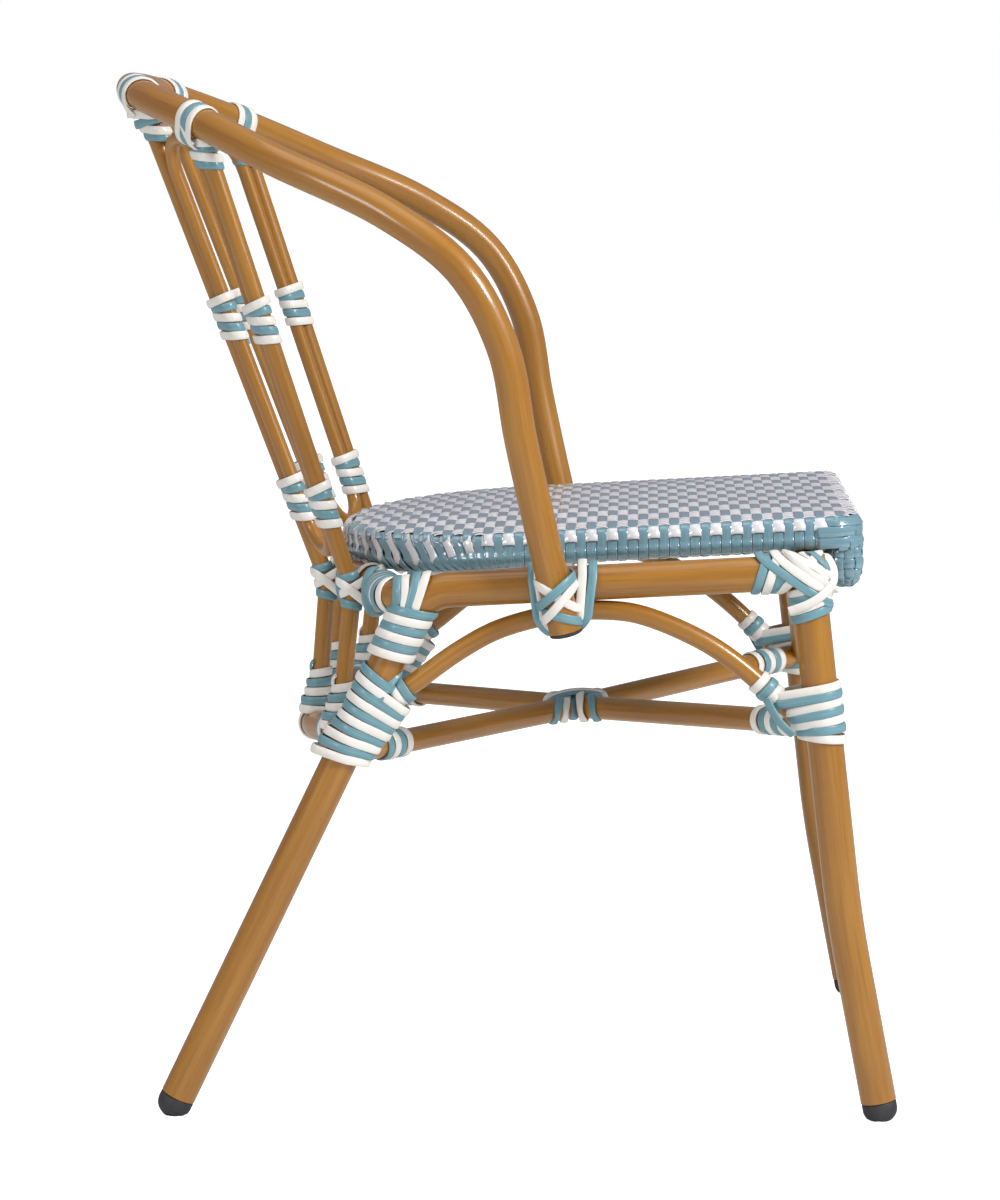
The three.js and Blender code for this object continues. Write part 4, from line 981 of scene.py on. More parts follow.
for side, side_name in SIDES.items():
    frame_tube, leg_tube, arch = side_frames[side], front_legs[side], side_arches[side]
    corner = Vector((REAR_CORNER_X, side * LEG_HALF_SPAN, REAR_CORNER_Z))
    top = Vector((FRONT_CORNER_X, side * LEG_HALF_SPAN, FRONT_CORNER_Z))
    rear_rod, front_rod = (through_rod, half_front) if side == RIGHT else (half_rear, through_rod)
    skin = side * (LEG_HALF_SPAN + SIDE_RADIUS)

    # Rear corner: upright strips over the bend and the hoop's end, then slanting ones down the leg
    hoop_end = seat_hoop.run[0] if side == RIGHT else seat_hoop.run[-1]
    hoop_sign = 1 if side == RIGHT else -1
    belts = []
    for k in range(4):
        place, way = place_on(seat_hoop, hoop_end, hoop_sign * 0.0062 * k)
        bundle = [(place, way, SEAT_HOOP_RADIUS)]
        if k < 3:
            bundle.append((*place_on(frame_tube, place + UP * 0.004), SIDE_RADIUS))
        facing = Vector((1, 0, -0.35 + 0.1 * k)) if k < 2 else Vector((1, 0, 0))
        belts.append(belt(place, facing, bundle, striped(k, WHITE), 0.3 + SHINGLE * (k % 2)))
    belts += rings(seat_hoop, hoop_end, [
        (hoop_sign * (0.0248 + 0.0064 * k), striped(k, WHITE), (0, 0, 0), 0.2 + SHINGLE * (k % 2)) for k in range(8)
    ])
    belts += slats(frame_tube, corner, [
        (-0.0157 - 0.0065 * k, striped(k), -0.14 - 0.03 * min(k, 3), 1.5 + SHINGLE * (k % 2)) for k in range(6)
    ])
    lashing(f"rear_corner_lashing_{side_name}", belts)

    # Rear leg: a fan of strips drawn out over the roots of arch, rod and hoop
    middle = rear_leg_at(side, joint_z(side, REAR_LASH_Z))
    belts = []
    for k in range(10):
        slope = -0.86 + 0.065 * k
        others = [] if k == 0 else [drawn_aside(slope, REAR_REACH - 0.0013 * k, 1)]
        if k > 5:
            others.append(drawn_aside(slope, 0.0175 + 0.0018 * (k - 5), -1))
        belts += slats(frame_tube, middle, [
            (0.043 - 0.0067 * k, striped(k), slope, 1.0 + SHINGLE * (k % 2)),
        ], others)
    notch = middle + Vector((0.0265, 0, 0.036))
    belts.append(belt(notch, slanting(1.3), [
        ball(notch + Vector((-0.012, 0, 0)), SIDE_RADIUS), ball(notch + Vector((0.011, 0, 0)), ARCH_RADIUS),
    ], BLUE, 0.4))
    belts += rings(arch, arch.run[0], [(0.0335, WHITE, (0, 0, 0), 0.8), (0.0405, BLUE, (0, 0, 0), 1.2)])
    rod_sign = 1 if (rear_rod.run[0] - middle).length < (rear_rod.run[-1] - middle).length else -1
    belts += rings(rear_rod, middle, [
        (rod_sign * (0.0425 + 0.0076 * k), striped(k), (0, 0, 0), 0.3 + SHINGLE * (k % 2)) for k in range(4)
    ])
    low_end = low_hoop.run[0] if side == RIGHT else low_hoop.run[-1]
    belts += rings(low_hoop, low_end, [
        (hoop_sign * (SIDE_RADIUS + STRIP_PITCH * (k + 0.4)), striped(k, WHITE), (0, 0, 0), 1.6 - 0.4 * k)
        for k in range(3)
    ])
    lashing(f"rear_leg_lashing_{side_name}", belts)

    # Front corner: strips turn round the inner corner from the rail to the leg, others cross them aslant
    rail = Tube([frame_tube.run[-2], frame_tube.run[-1]], SIDE_RADIUS)
    belts = []
    for k, (x, slope) in enumerate(((0.2086, 3.1), (0.2166, 3.0), (0.2245, 2.2), (0.2375, 0.95))):
        place, way = place_on(rail, Vector((x, side * LEG_HALF_SPAN, rail_z(x))))
        belts.append(belt(place, slanting(slope), [(place, way, SIDE_RADIUS)], striped(k), 0.1 + SHINGLE * (k % 2)))
    belts += slats(leg_tube, top, [
        (-0.0131, WHITE, 0.3, 0.3), (-0.0186, BLUE, 0.31, 0.6), (-0.0245, WHITE, 0.42, 1.0),
        (-0.0318, BLUE, 0.37, 0.5),
    ])
    for x, z, slope, shade, layer in ((0.2291, 0.4256, -0.67, BLUE, 1.2), (0.2364, 0.4292, -0.68, WHITE, 1.6),
                                      (0.2397, 0.4345, -0.73, WHITE, 1.2)):
        at = Vector((x, side * LEG_HALF_SPAN, z))
        bundle = [(*place_on(rail, at), SIDE_RADIUS), (*place_on(leg_tube, at), FRONT_LEG_RADIUS)]
        belts.append(belt(at, slanting(slope), bundle, shade, layer))
    core = Vector((FRONT_CORNER_X, side * LEG_HALF_SPAN, 0.420))
    inside = core - Vector((0.002, side * 0.025, 0))

    def outer_place(x, out, z):
        return Vector((x, side * (LEG_HALF_SPAN + out), z))
    belts.append(strap([outer_place(0.2300, 0.0165, 0.4000), outer_place(0.2440, 0.0190, 0.4055),
                        outer_place(0.2560, 0.0170, 0.4130), outer_place(0.2640, 0.0100, 0.4220),
                        outer_place(0.2640, 0.0060, 0.4330), outer_place(0.2580, 0.0020, 0.4422),
                        outer_place(0.2530, -0.0085, 0.4412)], inside, WHITE, 28))
    belts.append(strap([outer_place(0.2400, -0.0030, 0.4434), outer_place(0.2470, 0.0082, 0.4402),
                        outer_place(0.2565, 0.0122, 0.4330), outer_place(0.2640, 0.0080, 0.4250)], core, WHITE, 20))
    belts.append(strap([outer_place(0.2250, -0.0060, 0.4432), outer_place(0.2310, 0.0060, 0.4430),
                        outer_place(0.2400, 0.0130, 0.4390),
                        outer_place(0.2520, 0.0155, 0.4330), outer_place(0.2600, 0.0110, 0.4260)], core, WHITE, 20))
    belts.append(strap([outer_place(0.2620, 0.0060, 0.4290), outer_place(0.2560, 0.0110, 0.4380),
                        outer_place(0.2490, 0.0060, 0.4440), outer_place(0.2440, -0.0060, 0.4430)], core, BLUE, 20))
    lashing(f"front_corner_lashing_{side_name}", belts)

    # Front leg: a fan that gathers over the roots of arch and rod
    middle = front_leg_at(side, joint_z(side, FRONT_LASH_Z))
    belts = []
    for k, (slope, reach) in enumerate(FRONT_FAN):
        belts += slats(leg_tube, middle, [
            (0.0224 - 0.0064 * k, striped(k, WHITE), slope, 0.6 + SHINGLE * (k % 2)),
        ], [drawn_aside(slope, reach, -1)])
    belts.append(strap([
        middle + Vector((-0.0440, side * 0.0125, 0.0145)), middle + Vector((-0.0385, side * 0.0145, 0.0040)),
        middle + Vector((-0.0320, side * 0.0155, -0.0050)), middle + Vector((-0.0230, side * 0.0150, -0.0130)),
    ], middle + Vector((-0.015, -side * 0.01, 0)), BLUE))
    rod_sign = 1 if (front_rod.run[0] - middle).length < (front_rod.run[-1] - middle).length else -1
    belts += rings(arch, arch.run[-1], [
        (-0.0640, WHITE, (0, 0, 0), 0.3), (-0.0565, BLUE, (0, 0, 0), 0.6), (-0.0495, WHITE, (0, 0, 0), 0.3),
    ])
    belts += rings(front_rod, middle, [
        (rod_sign * distance, shade, (0, 0, 0), 0.4)
        for distance, shade in ((0.0715, WHITE), (0.0620, BLUE), (0.0545, WHITE), (0.0470, BLUE), (0.0395, WHITE))
    ])
    lashing(f"front_leg_lashing_{side_name}", belts)

    # Foot of the arm: rings on the rail that are drawn under the foot, and crossed strips round both
    arm_foot = Vector((ARM_FOOT_X, side * ARM_FOOT_Y, ARM_FOOT_Z))
    arm_place, arm_way = place_on(back_rail, arm_foot, 0.024 if side == RIGHT else -0.024)
    belts = []
    for x, z, slope, shade, layer in ((0.0545, 0.4115, -0.62, WHITE, 0.3), (0.0540, 0.4075, 1.32, WHITE, 1.2),
                                      (0.0535, 0.4190, 1.08, BLUE, 2.0), (0.0590, 0.3965, -0.27, BLUE, 0.0)):
        at = Vector((x, side * ARM_FOOT_Y, z))
        beside = Vector((x, side * LEG_HALF_SPAN, rail_z(x) - 0.004))
        bundle = [(*place_on(Tube([arm_foot, arm_place], ARM_RADIUS), at), ARM_RADIUS), ball(beside, SIDE_RADIUS)]
        belts.append(belt(at, slanting(slope), bundle, shade, layer))
    low_core = Vector((0, side * (LEG_HALF_SPAN + 0.014), -0.0250))
    for x, shade, draw, layer in ((0.0330, BLUE, 0.0085, 1.4), (0.0375, WHITE, 0.0095, 1.7),
                                  (0.0715, WHITE, -0.0055, 2.0), (0.0795, BLUE, -0.0095, 1.2)):
        place, way = place_on(frame_tube, Vector((x, side * LEG_HALF_SPAN, rail_z(x))))
        under = Vector((x, 0, place.z)) + low_core
        ring = belt(place, Vector((1, 0, 0)), [(place, way, SIDE_RADIUS), ball(under, 0.0085)], shade, layer)
        belts.append(bowed(ring, 0.412, 0.024, Vector((draw, 0, 0))))
    lashing(f"arm_foot_lashing_{side_name}", belts)

# Crossing of the rods: rings on each arm, upright strips over the middle, two strips laid over the top
half_way = heading(rod_rear[LEFT], rod_front[RIGHT])
rod_way = heading(rod_rear[RIGHT], rod_front[LEFT])
both_rods = [(rod_middle, rod_way, ROD_RADIUS), (rod_middle, half_way, ROD_RADIUS)]
belts = []
for x, shade, slope, layer in ((-0.0078, WHITE, 9.0, 0.3), (-0.0008, BLUE, 30.0, 0.0), (0.0065, WHITE, -6.0, 1.0)):
    belts.append(belt(rod_middle + Vector((x, 0, 0)), slanting(slope), both_rods, shade, layer))
for tube, distance, slope in ((through_rod, -0.0245, 5.0), (half_front, 0.0258, -5.0)):
    place, way = place_on(tube, rod_middle, distance)
    ring = belt(place, slanting(slope), [(place, way, ROD_RADIUS)], BLUE, 0.3)
    belts.append(bowed(ring, rod_middle.z, 0.016, Vector((math.copysign(0.003, -slope), 0, 0))))
for tube in (half_rear, through_rod):
    belts += rings(tube, rod_middle, [(0.0215, BLUE, (0, 0, 0), 0.3), (0.0290, WHITE, (0, 0, 0), 0.0)])
core = rod_middle + Vector((0, 0, -0.02))
for offset, shade, lift in ((0.0, WHITE, 0.0), (0.0055, BLUE, -0.0016)):
    belts.append(strap([
        rod_middle + Vector((-0.0260, -0.0240 - offset, 0.0055 + lift)),
        rod_middle + Vector((-0.0160, -0.0150 - offset, 0.0120 + lift)),
        rod_middle + Vector((-0.0050, -0.0070 - offset, 0.0145 + lift)),
        rod_middle + Vector((0.0080, 0.0010 - offset, 0.0145 + lift)),
        rod_middle + Vector((0.0200, 0.0120 - offset, 0.0120 + lift)),
    ], core, shade))
lashing("crossing_lashing", belts)

# Woven seat
EDGE_RADIUS = 0.007
RIM_SHARE = 1.2
CROWN_REACH = 0.150
REAR_SAG = 0.006
WEAVE_SIZES = {"Width": WEAVE_WIDTH, "Thickness": WEAVE_THICKNESS, "Bow": 0.00025, "Sides": 10, "Material": WEAVE}


def rim_height(inset):
    """Height of the seat's skin above its underside, by the distance in from its outline."""
    rim = EDGE_RADIUS * RIM_SHARE
    edge = math.sqrt(max(0.0, 1 - (1 - min(inset / rim, 1.0)) ** 2))
    crown = 1 - (1 - min(inset / CROWN_REACH, 1.0)) ** 2
    return SEAT_THICKNESS - EDGE_RADIUS + EDGE_RADIUS * edge + SEAT_CROWN * crown


def corner_drop(into):
    """How far the rounded front corner falls back, by the distance into it."""
    return SEAT_CORNER_RADIUS - math.sqrt(max(0.0, SEAT_CORNER_RADIUS ** 2 - max(0.0, into) ** 2))


def half_width_at(x):
    """Half of the seat's width at an X."""
    if x < SEAT_WAIST_X:
        share = (SEAT_WAIST_X - x) / (SEAT_WAIST_X - SEAT_REAR_X)
        return SEAT_HALF_WIDTH * math.sqrt(max(0.0, 1 - share ** 2))
    return SEAT_HALF_WIDTH - corner_drop(x - (SEAT_FRONT_X - SEAT_CORNER_RADIUS))


def inset_at(x, y):
    """Distance of a place in the seat's plan in from its outline, found by halving."""
    if x >= SEAT_WAIST_X:
        return max(0.0, min(half_width_at(x) - abs(y), SEAT_FRONT_X - x))
    low, high = 0.0, SEAT_WAIST_X - SEAT_REAR_X
    for _ in range(14):
        middle = (low + high) / 2
        reach = max(SEAT_WAIST_X - SEAT_REAR_X - middle, TINY)
        inside = ((SEAT_WAIST_X - x) / reach) ** 2 + (y / (SEAT_HALF_WIDTH - middle)) ** 2 < 1
        low, high = (middle, high) if inside else (low, middle)
    return low


def rear_sag(x):
    """How much lower the weave hangs towards the rear corners, where it comes down between rail and hoop."""
    growing = min(max((0.15 - x) / 0.205, 0.0), 1.0) ** 2
    fading = min(max((x + 0.115) / 0.045, 0.0), 1.0)
    return REAR_SAG * growing * fading * fading * (3 - 2 * fading)


def seat_skin(x, y, lift=0.0):
    return Vector((x, y, seat_under_z(x) + rim_height(inset_at(x, y)) + lift))


def square_to_run(points, looks):
    """The wished facings, each made square to the run of its strip."""
    facing = []
    for k, look in enumerate(looks):
        way = heading(points[max(k - 1, 0)], points[min(k + 1, len(points) - 1)])
        facing.append((look - way * look.dot(way)).normalized())
    return facing


# Closed rings in plan, with their points at even distances, left-hand turns all the way
OUTLINE_STEPS = 720


def seat_outline():
    """The seat's outline from the middle of its front edge, all the way round by the left side."""
    front = SEAT_FRONT_X - SEAT_CORNER_RADIUS
    side = SEAT_HALF_WIDTH - SEAT_CORNER_RADIUS
    half = [Vector((SEAT_FRONT_X, 0, 0))]
    half += [Vector((front + SEAT_CORNER_RADIUS * math.cos(t), side + SEAT_CORNER_RADIUS * math.sin(t), 0))
             for t in [math.pi / 2 * k / 24 for k in range(25)]]
    half += [Vector((SEAT_WAIST_X - (SEAT_WAIST_X - SEAT_REAR_X) * math.sin(t), SEAT_HALF_WIDTH * math.cos(t), 0))
             for t in [math.pi / 2 * k / 96 for k in range(97)]]
    return evenly(half + [Vector((p.x, -p.y, 0)) for p in half[::-1][1:]], OUTLINE_STEPS)


def ring_at(ring, distance):
    """Place and outward direction at a distance along a ring."""
    count = len(ring) - 1
    at = (distance / (ring[1] - ring[0]).length) % count
    k = int(at)
    along = heading(ring[(k - 1) % count], ring[(k + 2) % count])
    return between(ring[k], ring[k + 1], at - k), Vector((along.y, -along.x, 0))


def way_round(ring, x, y):
    """Distance along a ring to its place nearest to a place in plan."""
    goal = Vector((x, y, 0))
    k = min(range(len(ring) - 1), key=lambda i: (ring[i] - goal).length_squared)
    return k * (ring[1] - ring[0]).length + (goal - ring[k]).dot(heading(ring[k], ring[k + 1]))


def rises_of(profile):
    """How each step of a profile, given as (out, height) from its top down, faces: its shares out and up."""
    rises = []
    for step in range(len(profile)):
        before, after = profile[max(step - 1, 0)], profile[min(step + 1, len(profile) - 1)]
        rises.append(Vector((before[1] - after[1], after[0] - before[0])).normalized())
    return rises


RIM_TOP = 0.019


def run_down(ring, start, profile, lean=0.0, sinks=()):
    """A strip's run down a profile beside a ring; its foot runs on along the ring by the lean."""
    points, looks, fallen = [], [], 0.0
    for step, ((out, height), rise) in enumerate(zip(profile, rises_of(profile))):
        fallen += math.dist(profile[step - 1], profile[step]) if step else 0.0
        place, outward = ring_at(ring, start + fallen * lean)
        look = outward * rise.x + UP * rise.y
        flat = place + outward * out
        sink = WEAVE_THICKNESS / 2 + (sinks[step] if step < len(sinks) else 0.0)
        low = height - rear_sag(flat.x) * (1 - min(height / RIM_TOP, 1.0))
        points.append(Vector((flat.x, flat.y, seat_under_z(flat.x) + low)) - look * sink)
        looks.append(look)
    return points, looks


# Top: blue strips run across, and white ones in rows of four run lengthwise over and under them
ROW_STRIPS, ROW_COUNT = 4, 13
WEAVE_REACH = SEAT_HALF_WIDTH - 0.0055
LENGTH_PITCH = 2 * WEAVE_REACH / (ROW_STRIPS * ROW_COUNT)
ROW_WIDTH = LENGTH_PITCH * ROW_STRIPS
FIRST_CROSS_X = 0.2711
CROSS_COUNT = int((FIRST_CROSS_X - SEAT_REAR_X - 0.004) / WEAVE_PITCH)
WAVE = WEAVE_THICKNESS * 0.6
TURN_SHARE = 0.13
ROW_STEPS = (0.0, 0.07, 0.14, 0.5, 0.86, 0.93)
RIM_STEPS = (0.0008, 0.0022, 0.0042, 0.0066)
LEAN_LIMIT = math.tan(math.radians(50))

# Wall: from the rim down over a ridge at the seat's frame and in under the seat
WALL_PROFILE = (
    (0.0, 0.019), (0.0003, 0.0163), (0.0001, 0.0135), (0.0002, 0.0118), (0.0011, 0.0103), (0.0015, 0.0088),
    (0.0011, 0.0064), (-0.0004, 0.0036), (-0.003, 0.0013), (-0.007, 0.0003), (-0.012, -0.0001),
)
DIPPED = (0.0009, 0.0006)
UPPER_ROWS_X = 0.2520


def cross_x(i):
    return FIRST_CROSS_X - WEAVE_PITCH * i


def row_of(y):
    return min(max(math.floor((y + WEAVE_REACH) / ROW_WIDTH), 0), ROW_COUNT - 1)


def cross_over(i, y):
    """1 where a crosswise strip is on top, -1 where it runs under, and between them at a row's edge."""
    row = row_of(y)
    into = (y + WEAVE_REACH) / ROW_WIDTH - row
    near = max(-1.0, min(into / TURN_SHARE, (1 - into) / TURN_SHARE, 1.0))
    return math.sin(near * math.pi / 2) * (1 if (row + i) % 2 == 0 else -1)


def across_places(half, rim_steps, row_steps):
    """The Y places of a crosswise strip: the steps of every row, and closer steps at both rims."""
    inner = [(-WEAVE_REACH + ROW_WIDTH * (row + step)) for row in range(ROW_COUNT) for step in row_steps]
    reach = half - (rim_steps[-1] + 0.0015 if rim_steps else 0.004)
    rims = [half - step for step in rim_steps]
    return sorted([y for y in inner if abs(y) < reach] + rims + [-y for y in rims])


outline = seat_outline()
cross_routes, wall_marks = [], []
for i in range(CROSS_COUNT):
    x = cross_x(i)
    half = half_width_at(x)
    if half < 0.03:
        continue
    ys = across_places(half, RIM_STEPS, ROW_STEPS)
    points = [seat_skin(x, y, WAVE * cross_over(i, y) - WEAVE_THICKNESS / 2) for y in ys]
    looks = [UP + Vector((0, math.copysign(0.3, y), 0)) if half - abs(y) < 0.005 else UP for y in ys]
    for side in SIDES:
        rim = way_round(outline, x, side * half)
        outward = ring_at(outline, rim)[1]
        lean = max(0.0, -outward.x / max(abs(outward.y), TINY))
        if lean < LEAN_LIMIT:
            wall_marks.append((rim, -side * lean, i))
            profile, sinks = WALL_PROFILE, DIPPED if i % 2 == 0 else ()
            if x > UPPER_ROWS_X + WEAVE_PITCH / 2:
                profile, sinks = WALL_PROFILE[:4], (*DIPPED, 0.0006, 0.0020)
            fall, fall_looks = run_down(outline, rim, profile, -side * lean, sinks)
            points = fall[::-1] + points if side == RIGHT else points + fall
            looks = fall_looks[::-1] + looks if side == RIGHT else looks + fall_looks
    cross_routes.append(Route(points, square_to_run(points, looks), BLUE, False))
settle(grow("seat_strips_crosswise", cross_routes, FLAT_STRIP, WEAVE_SIZES), "seat_weave", "woven_seat")

# Lengthwise strips roll over the front edge
FRONT_ROLL = (
    (-0.0009, 0.0095), (0.0004, 0.0130), (0.0005, 0.0168), (-0.0001, 0.0203), (-0.0016, 0.0235),
    (-0.0045, 0.0258), (-0.0085, 0.0269),
)


def front_x_at(y):
    return SEAT_FRONT_X - corner_drop(abs(y) - (SEAT_HALF_WIDTH - SEAT_CORNER_RADIUS))


length_routes = []
for j in range(ROW_STRIPS * ROW_COUNT):
    y = -WEAVE_REACH + LENGTH_PITCH * (j + 0.5)
    astray = 0.0005 * math.sin(j * 2.3)
    points, looks = [], []
    hidden = 0 if abs(y) < SEAT_HALF_WIDTH - SEAT_CORNER_RADIUS else 5
    for (out, height), rise in list(zip(FRONT_ROLL, rises_of(FRONT_ROLL)))[hidden:]:
        x = front_x_at(y) + out
        points.append(Vector((x, y + astray * height / FRONT_ROLL[0][1], seat_under_z(x) + height + astray)))
        looks.append(Vector((-rise.x, 0, -rise.y)))
    for i in range(CROSS_COUNT):
        x = cross_x(i)
        if half_width_at(x) - 0.0035 < abs(y):
            continue
        sign = 1 if (row_of(y) + i) % 2 else -1
        for share, near in ((0.3, 0.7), (0.0, 1.0), (-0.3, 0.7)):
            points.append(seat_skin(x + share * WEAVE_PITCH, y, WAVE * sign * near - WEAVE_THICKNESS / 2))
            looks.append(UP)
    if len(points) > 20:
        length_routes.append(Route(points, square_to_run(points, looks), WHITE, False))
settle(grow("seat_strips_lengthwise", length_routes, FLAT_STRIP, {**WEAVE_SIZES, "Width": LENGTH_PITCH * 0.96}),
       "seat_weave", "woven_seat")

# Rest of the wall, round the rear: the strips stand ever more upright towards the middle
REAR_PROFILE = ((-0.0070, 0.0246), (-0.0030, 0.0232), *WALL_PROFILE)
REAR_LEAD = 0.009
last = max(mark[2] for mark in wall_marks)
zone_start = max(mark[0] for mark in wall_marks if mark[1] <= 0 and mark[2] == last)
zone_end = min(mark[0] for mark in wall_marks if mark[1] >= 0 and mark[2] == last)
ZONE_STEPS = 400


def rear_lean(share):
    return -LEAN_LIMIT * math.cos(math.pi * share)


counted = [0.0]
for k in range(ZONE_STEPS):
    stretch = math.sqrt(1 + rear_lean((k + 0.5) / ZONE_STEPS) ** 2)
    counted.append(counted[-1] + (zone_end - zone_start) / ZONE_STEPS / WEAVE_PITCH / stretch)
rear_count = 2 * round((counted[-1] - 2) / 2) + 1
rear_routes = []
for k in range(rear_count):
    goal = counted[-1] * (k + 1) / (rear_count + 1)
    share = next(n for n, value in enumerate(counted) if value >= goal) / ZONE_STEPS
    start, lean, index = between(zone_start, zone_end, share), rear_lean(share), last + 1 + k
    wall_marks.append((start, lean, index))
    sinks = (0.0, 0.0008, *DIPPED) if index % 2 == 0 else (0.0,)
    points, looks = run_down(outline, start - REAR_LEAD * lean, REAR_PROFILE, lean, sinks)
    rear_routes.append(Route(points, square_to_run(points, looks), BLUE, False))
settle(grow("seat_rear_wall_strips", rear_routes, FLAT_STRIP, WEAVE_SIZES), "seat_weave", "woven_seat")

# White strips that run along the wall in and out of the upright ones
wall_marks.sort()


def has_leaning_white(mark):
    return mark[2] % 2 == 0 and (abs(mark[1]) > 0.3 or mark[2] > last)


def along_wall(marks, fallen, out, height, up):
    """A strip along the wall: out over the even upright strips and in under the odd ones."""
    points, facing = [], []
    for at, (start, lean, index) in enumerate(marks):
        gaps = [abs(marks[n][0] - start) for n in (at - 1, at + 1) if 0 <= n < len(marks)]
        for share in (-0.3, 0.0, 0.3):
            place, outward = ring_at(outline, start + fallen * lean + share * min(gaps))
            look = (outward + UP * up).normalized()
            shows = index % 2 == 0 and not has_leaning_white(marks[at])
            wave = (0.0007 if shows else -0.0019) * (1.0 if share == 0.0 else 0.85)
            flat = place + outward * out
            points.append(Vector((flat.x, flat.y, seat_under_z(flat.x) + height)) + look * wave)
            facing.append(look)
    return Route(points, facing, WHITE, False)


edge_marks = [mark for mark in wall_marks if mark[2] > 0]
edge = grow("seat_edge_strip", [along_wall(edge_marks, -0.003, -0.0007, 0.0215, 0.53)], FLAT_STRIP,
            {**WEAVE_SIZES, "Width": 0.0102, "Bow": 0.0014, "Sides": 16})
settle(edge, "seat_weave", "woven_seat")

# At the rear the white shows further down, as strips that lean with the blue ones
REAR_WHITE = (
    (-0.0050, 0.0252), (-0.0022, 0.0238), (-0.0006, 0.0215), (0.0, 0.019), (0.0003, 0.0163), (0.0001, 0.0135),
    (0.0003, 0.0112), (0.0010, 0.0096), (0.0015, 0.0080), (0.0012, 0.0062), (0.0004, 0.0046), (-0.0008, 0.0030),
)
WHITE_LEAD = 0.0085
WHITE_LIFT, WHITE_TUCK = -0.0007, 0.0010
white_routes = []
for mark in wall_marks:
    if has_leaning_white(mark):
        start, lean, index = mark
        count = 6 + round(4 * abs(lean) / LEAN_LIMIT)
        lifts = [0.0002, *[WHITE_LIFT] * (count - 2), WHITE_TUCK]
        points, looks = run_down(outline, start - WHITE_LEAD * lean, REAR_WHITE[:count], lean, lifts)
        white_routes.append(Route(points, square_to_run(points, looks), WHITE, False))
settle(grow("seat_rear_strips", white_routes, FLAT_STRIP, {**WEAVE_SIZES, "Width": 0.0071}),
       "seat_weave", "woven_seat")

# Apron under the front edge: a basket weave all in blue that closes round its ends
APRON_HALF = 0.2148
APRON_CORNER = 0.009
APRON_STEPS = 880
APRON_WAVE = 0.0009
APRON_TOP = ((0.0003, 0.0180), (0.0003, 0.0142), (0.0002, 0.0100), (0.0001, 0.0057))
APRON_PROFILE = (
    (0.0, 0.0014), (0.0004, -0.0028), (0.0007, -0.0070), (0.0008, -0.0112), (0.0006, -0.0153), (0.0, -0.0195),
    (-0.0012, -0.0230), (-0.0034, -0.0262), (-0.0060, -0.0284), (-0.0085, -0.0293), (-0.0125, -0.0297),
)


def apron_ring():
    """The apron's outline in plan from the left end of its front, round by the left end and the rear."""
    front, rear = SEAT_FRONT_X - APRON_CORNER, SEAT_FRONT_X - APRON_THICKNESS + APRON_CORNER
    side = APRON_HALF - APRON_CORNER
    run = []
    for turn, (x, y) in enumerate(((front, side), (rear, side), (rear, -side), (front, -side))):
        for k in range(9):
            angle = (turn + k / 8) * math.pi / 2
            run.append(Vector((x + APRON_CORNER * math.cos(angle), y + APRON_CORNER * math.sin(angle), 0)))
    return evenly([*run, run[0].copy()], APRON_STEPS)


ring = apron_ring()
ring_length = APRON_STEPS * (ring[1] - ring[0]).length
upright_count = 2 * round(ring_length / WEAVE_PITCH / 2)
upright_pitch = ring_length / upright_count
top_rows = len(APRON_TOP) // 2
apron_routes = []
for k in range(upright_count):
    start = upright_pitch * (k + 0.5)
    place, outward = ring_at(ring, start)
    in_front = outward.x > 0.98 and abs(place.y) < SEAT_HALF_WIDTH - SEAT_CORNER_RADIUS + upright_pitch / 2
    profile = APRON_TOP + APRON_PROFILE if in_front else APRON_PROFILE
    first_row = 0 if in_front else top_rows
    sinks = [0.0 if step % 2 == 0 else APRON_WAVE * (1 if (k + first_row + step // 2) % 2 else -1)
             for step in range(len(profile))]
    points, looks = run_down(ring, start, profile, 0.0, sinks)
    apron_routes.append(Route(points, square_to_run(points, looks), BLUE, False))


def basket_wave(distance, row):
    """How far a level strip stands out at a place along the apron: in where an upright one is out."""
    return APRON_WAVE * math.cos(math.pi * (distance / upright_pitch - 0.5)) * (1 if row % 2 else -1)


for step in range(1, len(APRON_PROFILE), 2):
    out, height = APRON_PROFILE[step]
    rise = rises_of(APRON_PROFILE)[step]
    points, looks = [], []
    for q in range(upright_count * 4):
        distance = upright_pitch * q / 4
        place, outward = ring_at(ring, distance)
        look = outward * rise.x + UP * rise.y
        flat = place + outward * out
        wave = basket_wave(distance, top_rows + step // 2) - WEAVE_THICKNESS / 2
        points.append(Vector((flat.x, flat.y, seat_under_z(flat.x) + height)) + look * wave)
        looks.append(look)
    apron_routes.append(Route(points, looks, BLUE, True))

# Upper rows start on the side walls and turn round the front corners: start, corner radius and height
UPPER_ROWS = ((UPPER_ROWS_X, 0.0250, 0.0142), (UPPER_ROWS_X + 0.001, 0.0200, 0.0057))
UPPER_STEPS = 360


front_middle = way_round(ring, SEAT_FRONT_X, 0.0)
perimeter = OUTLINE_STEPS * (outline[1] - outline[0]).length


def upper_distance(place):
    """The weave's distance along the front at a place, carried on round the corners by the seat's outline."""
    around = way_round(outline, place.x, place.y)
    return front_middle + (around - perimeter if around > perimeter / 2 else around)


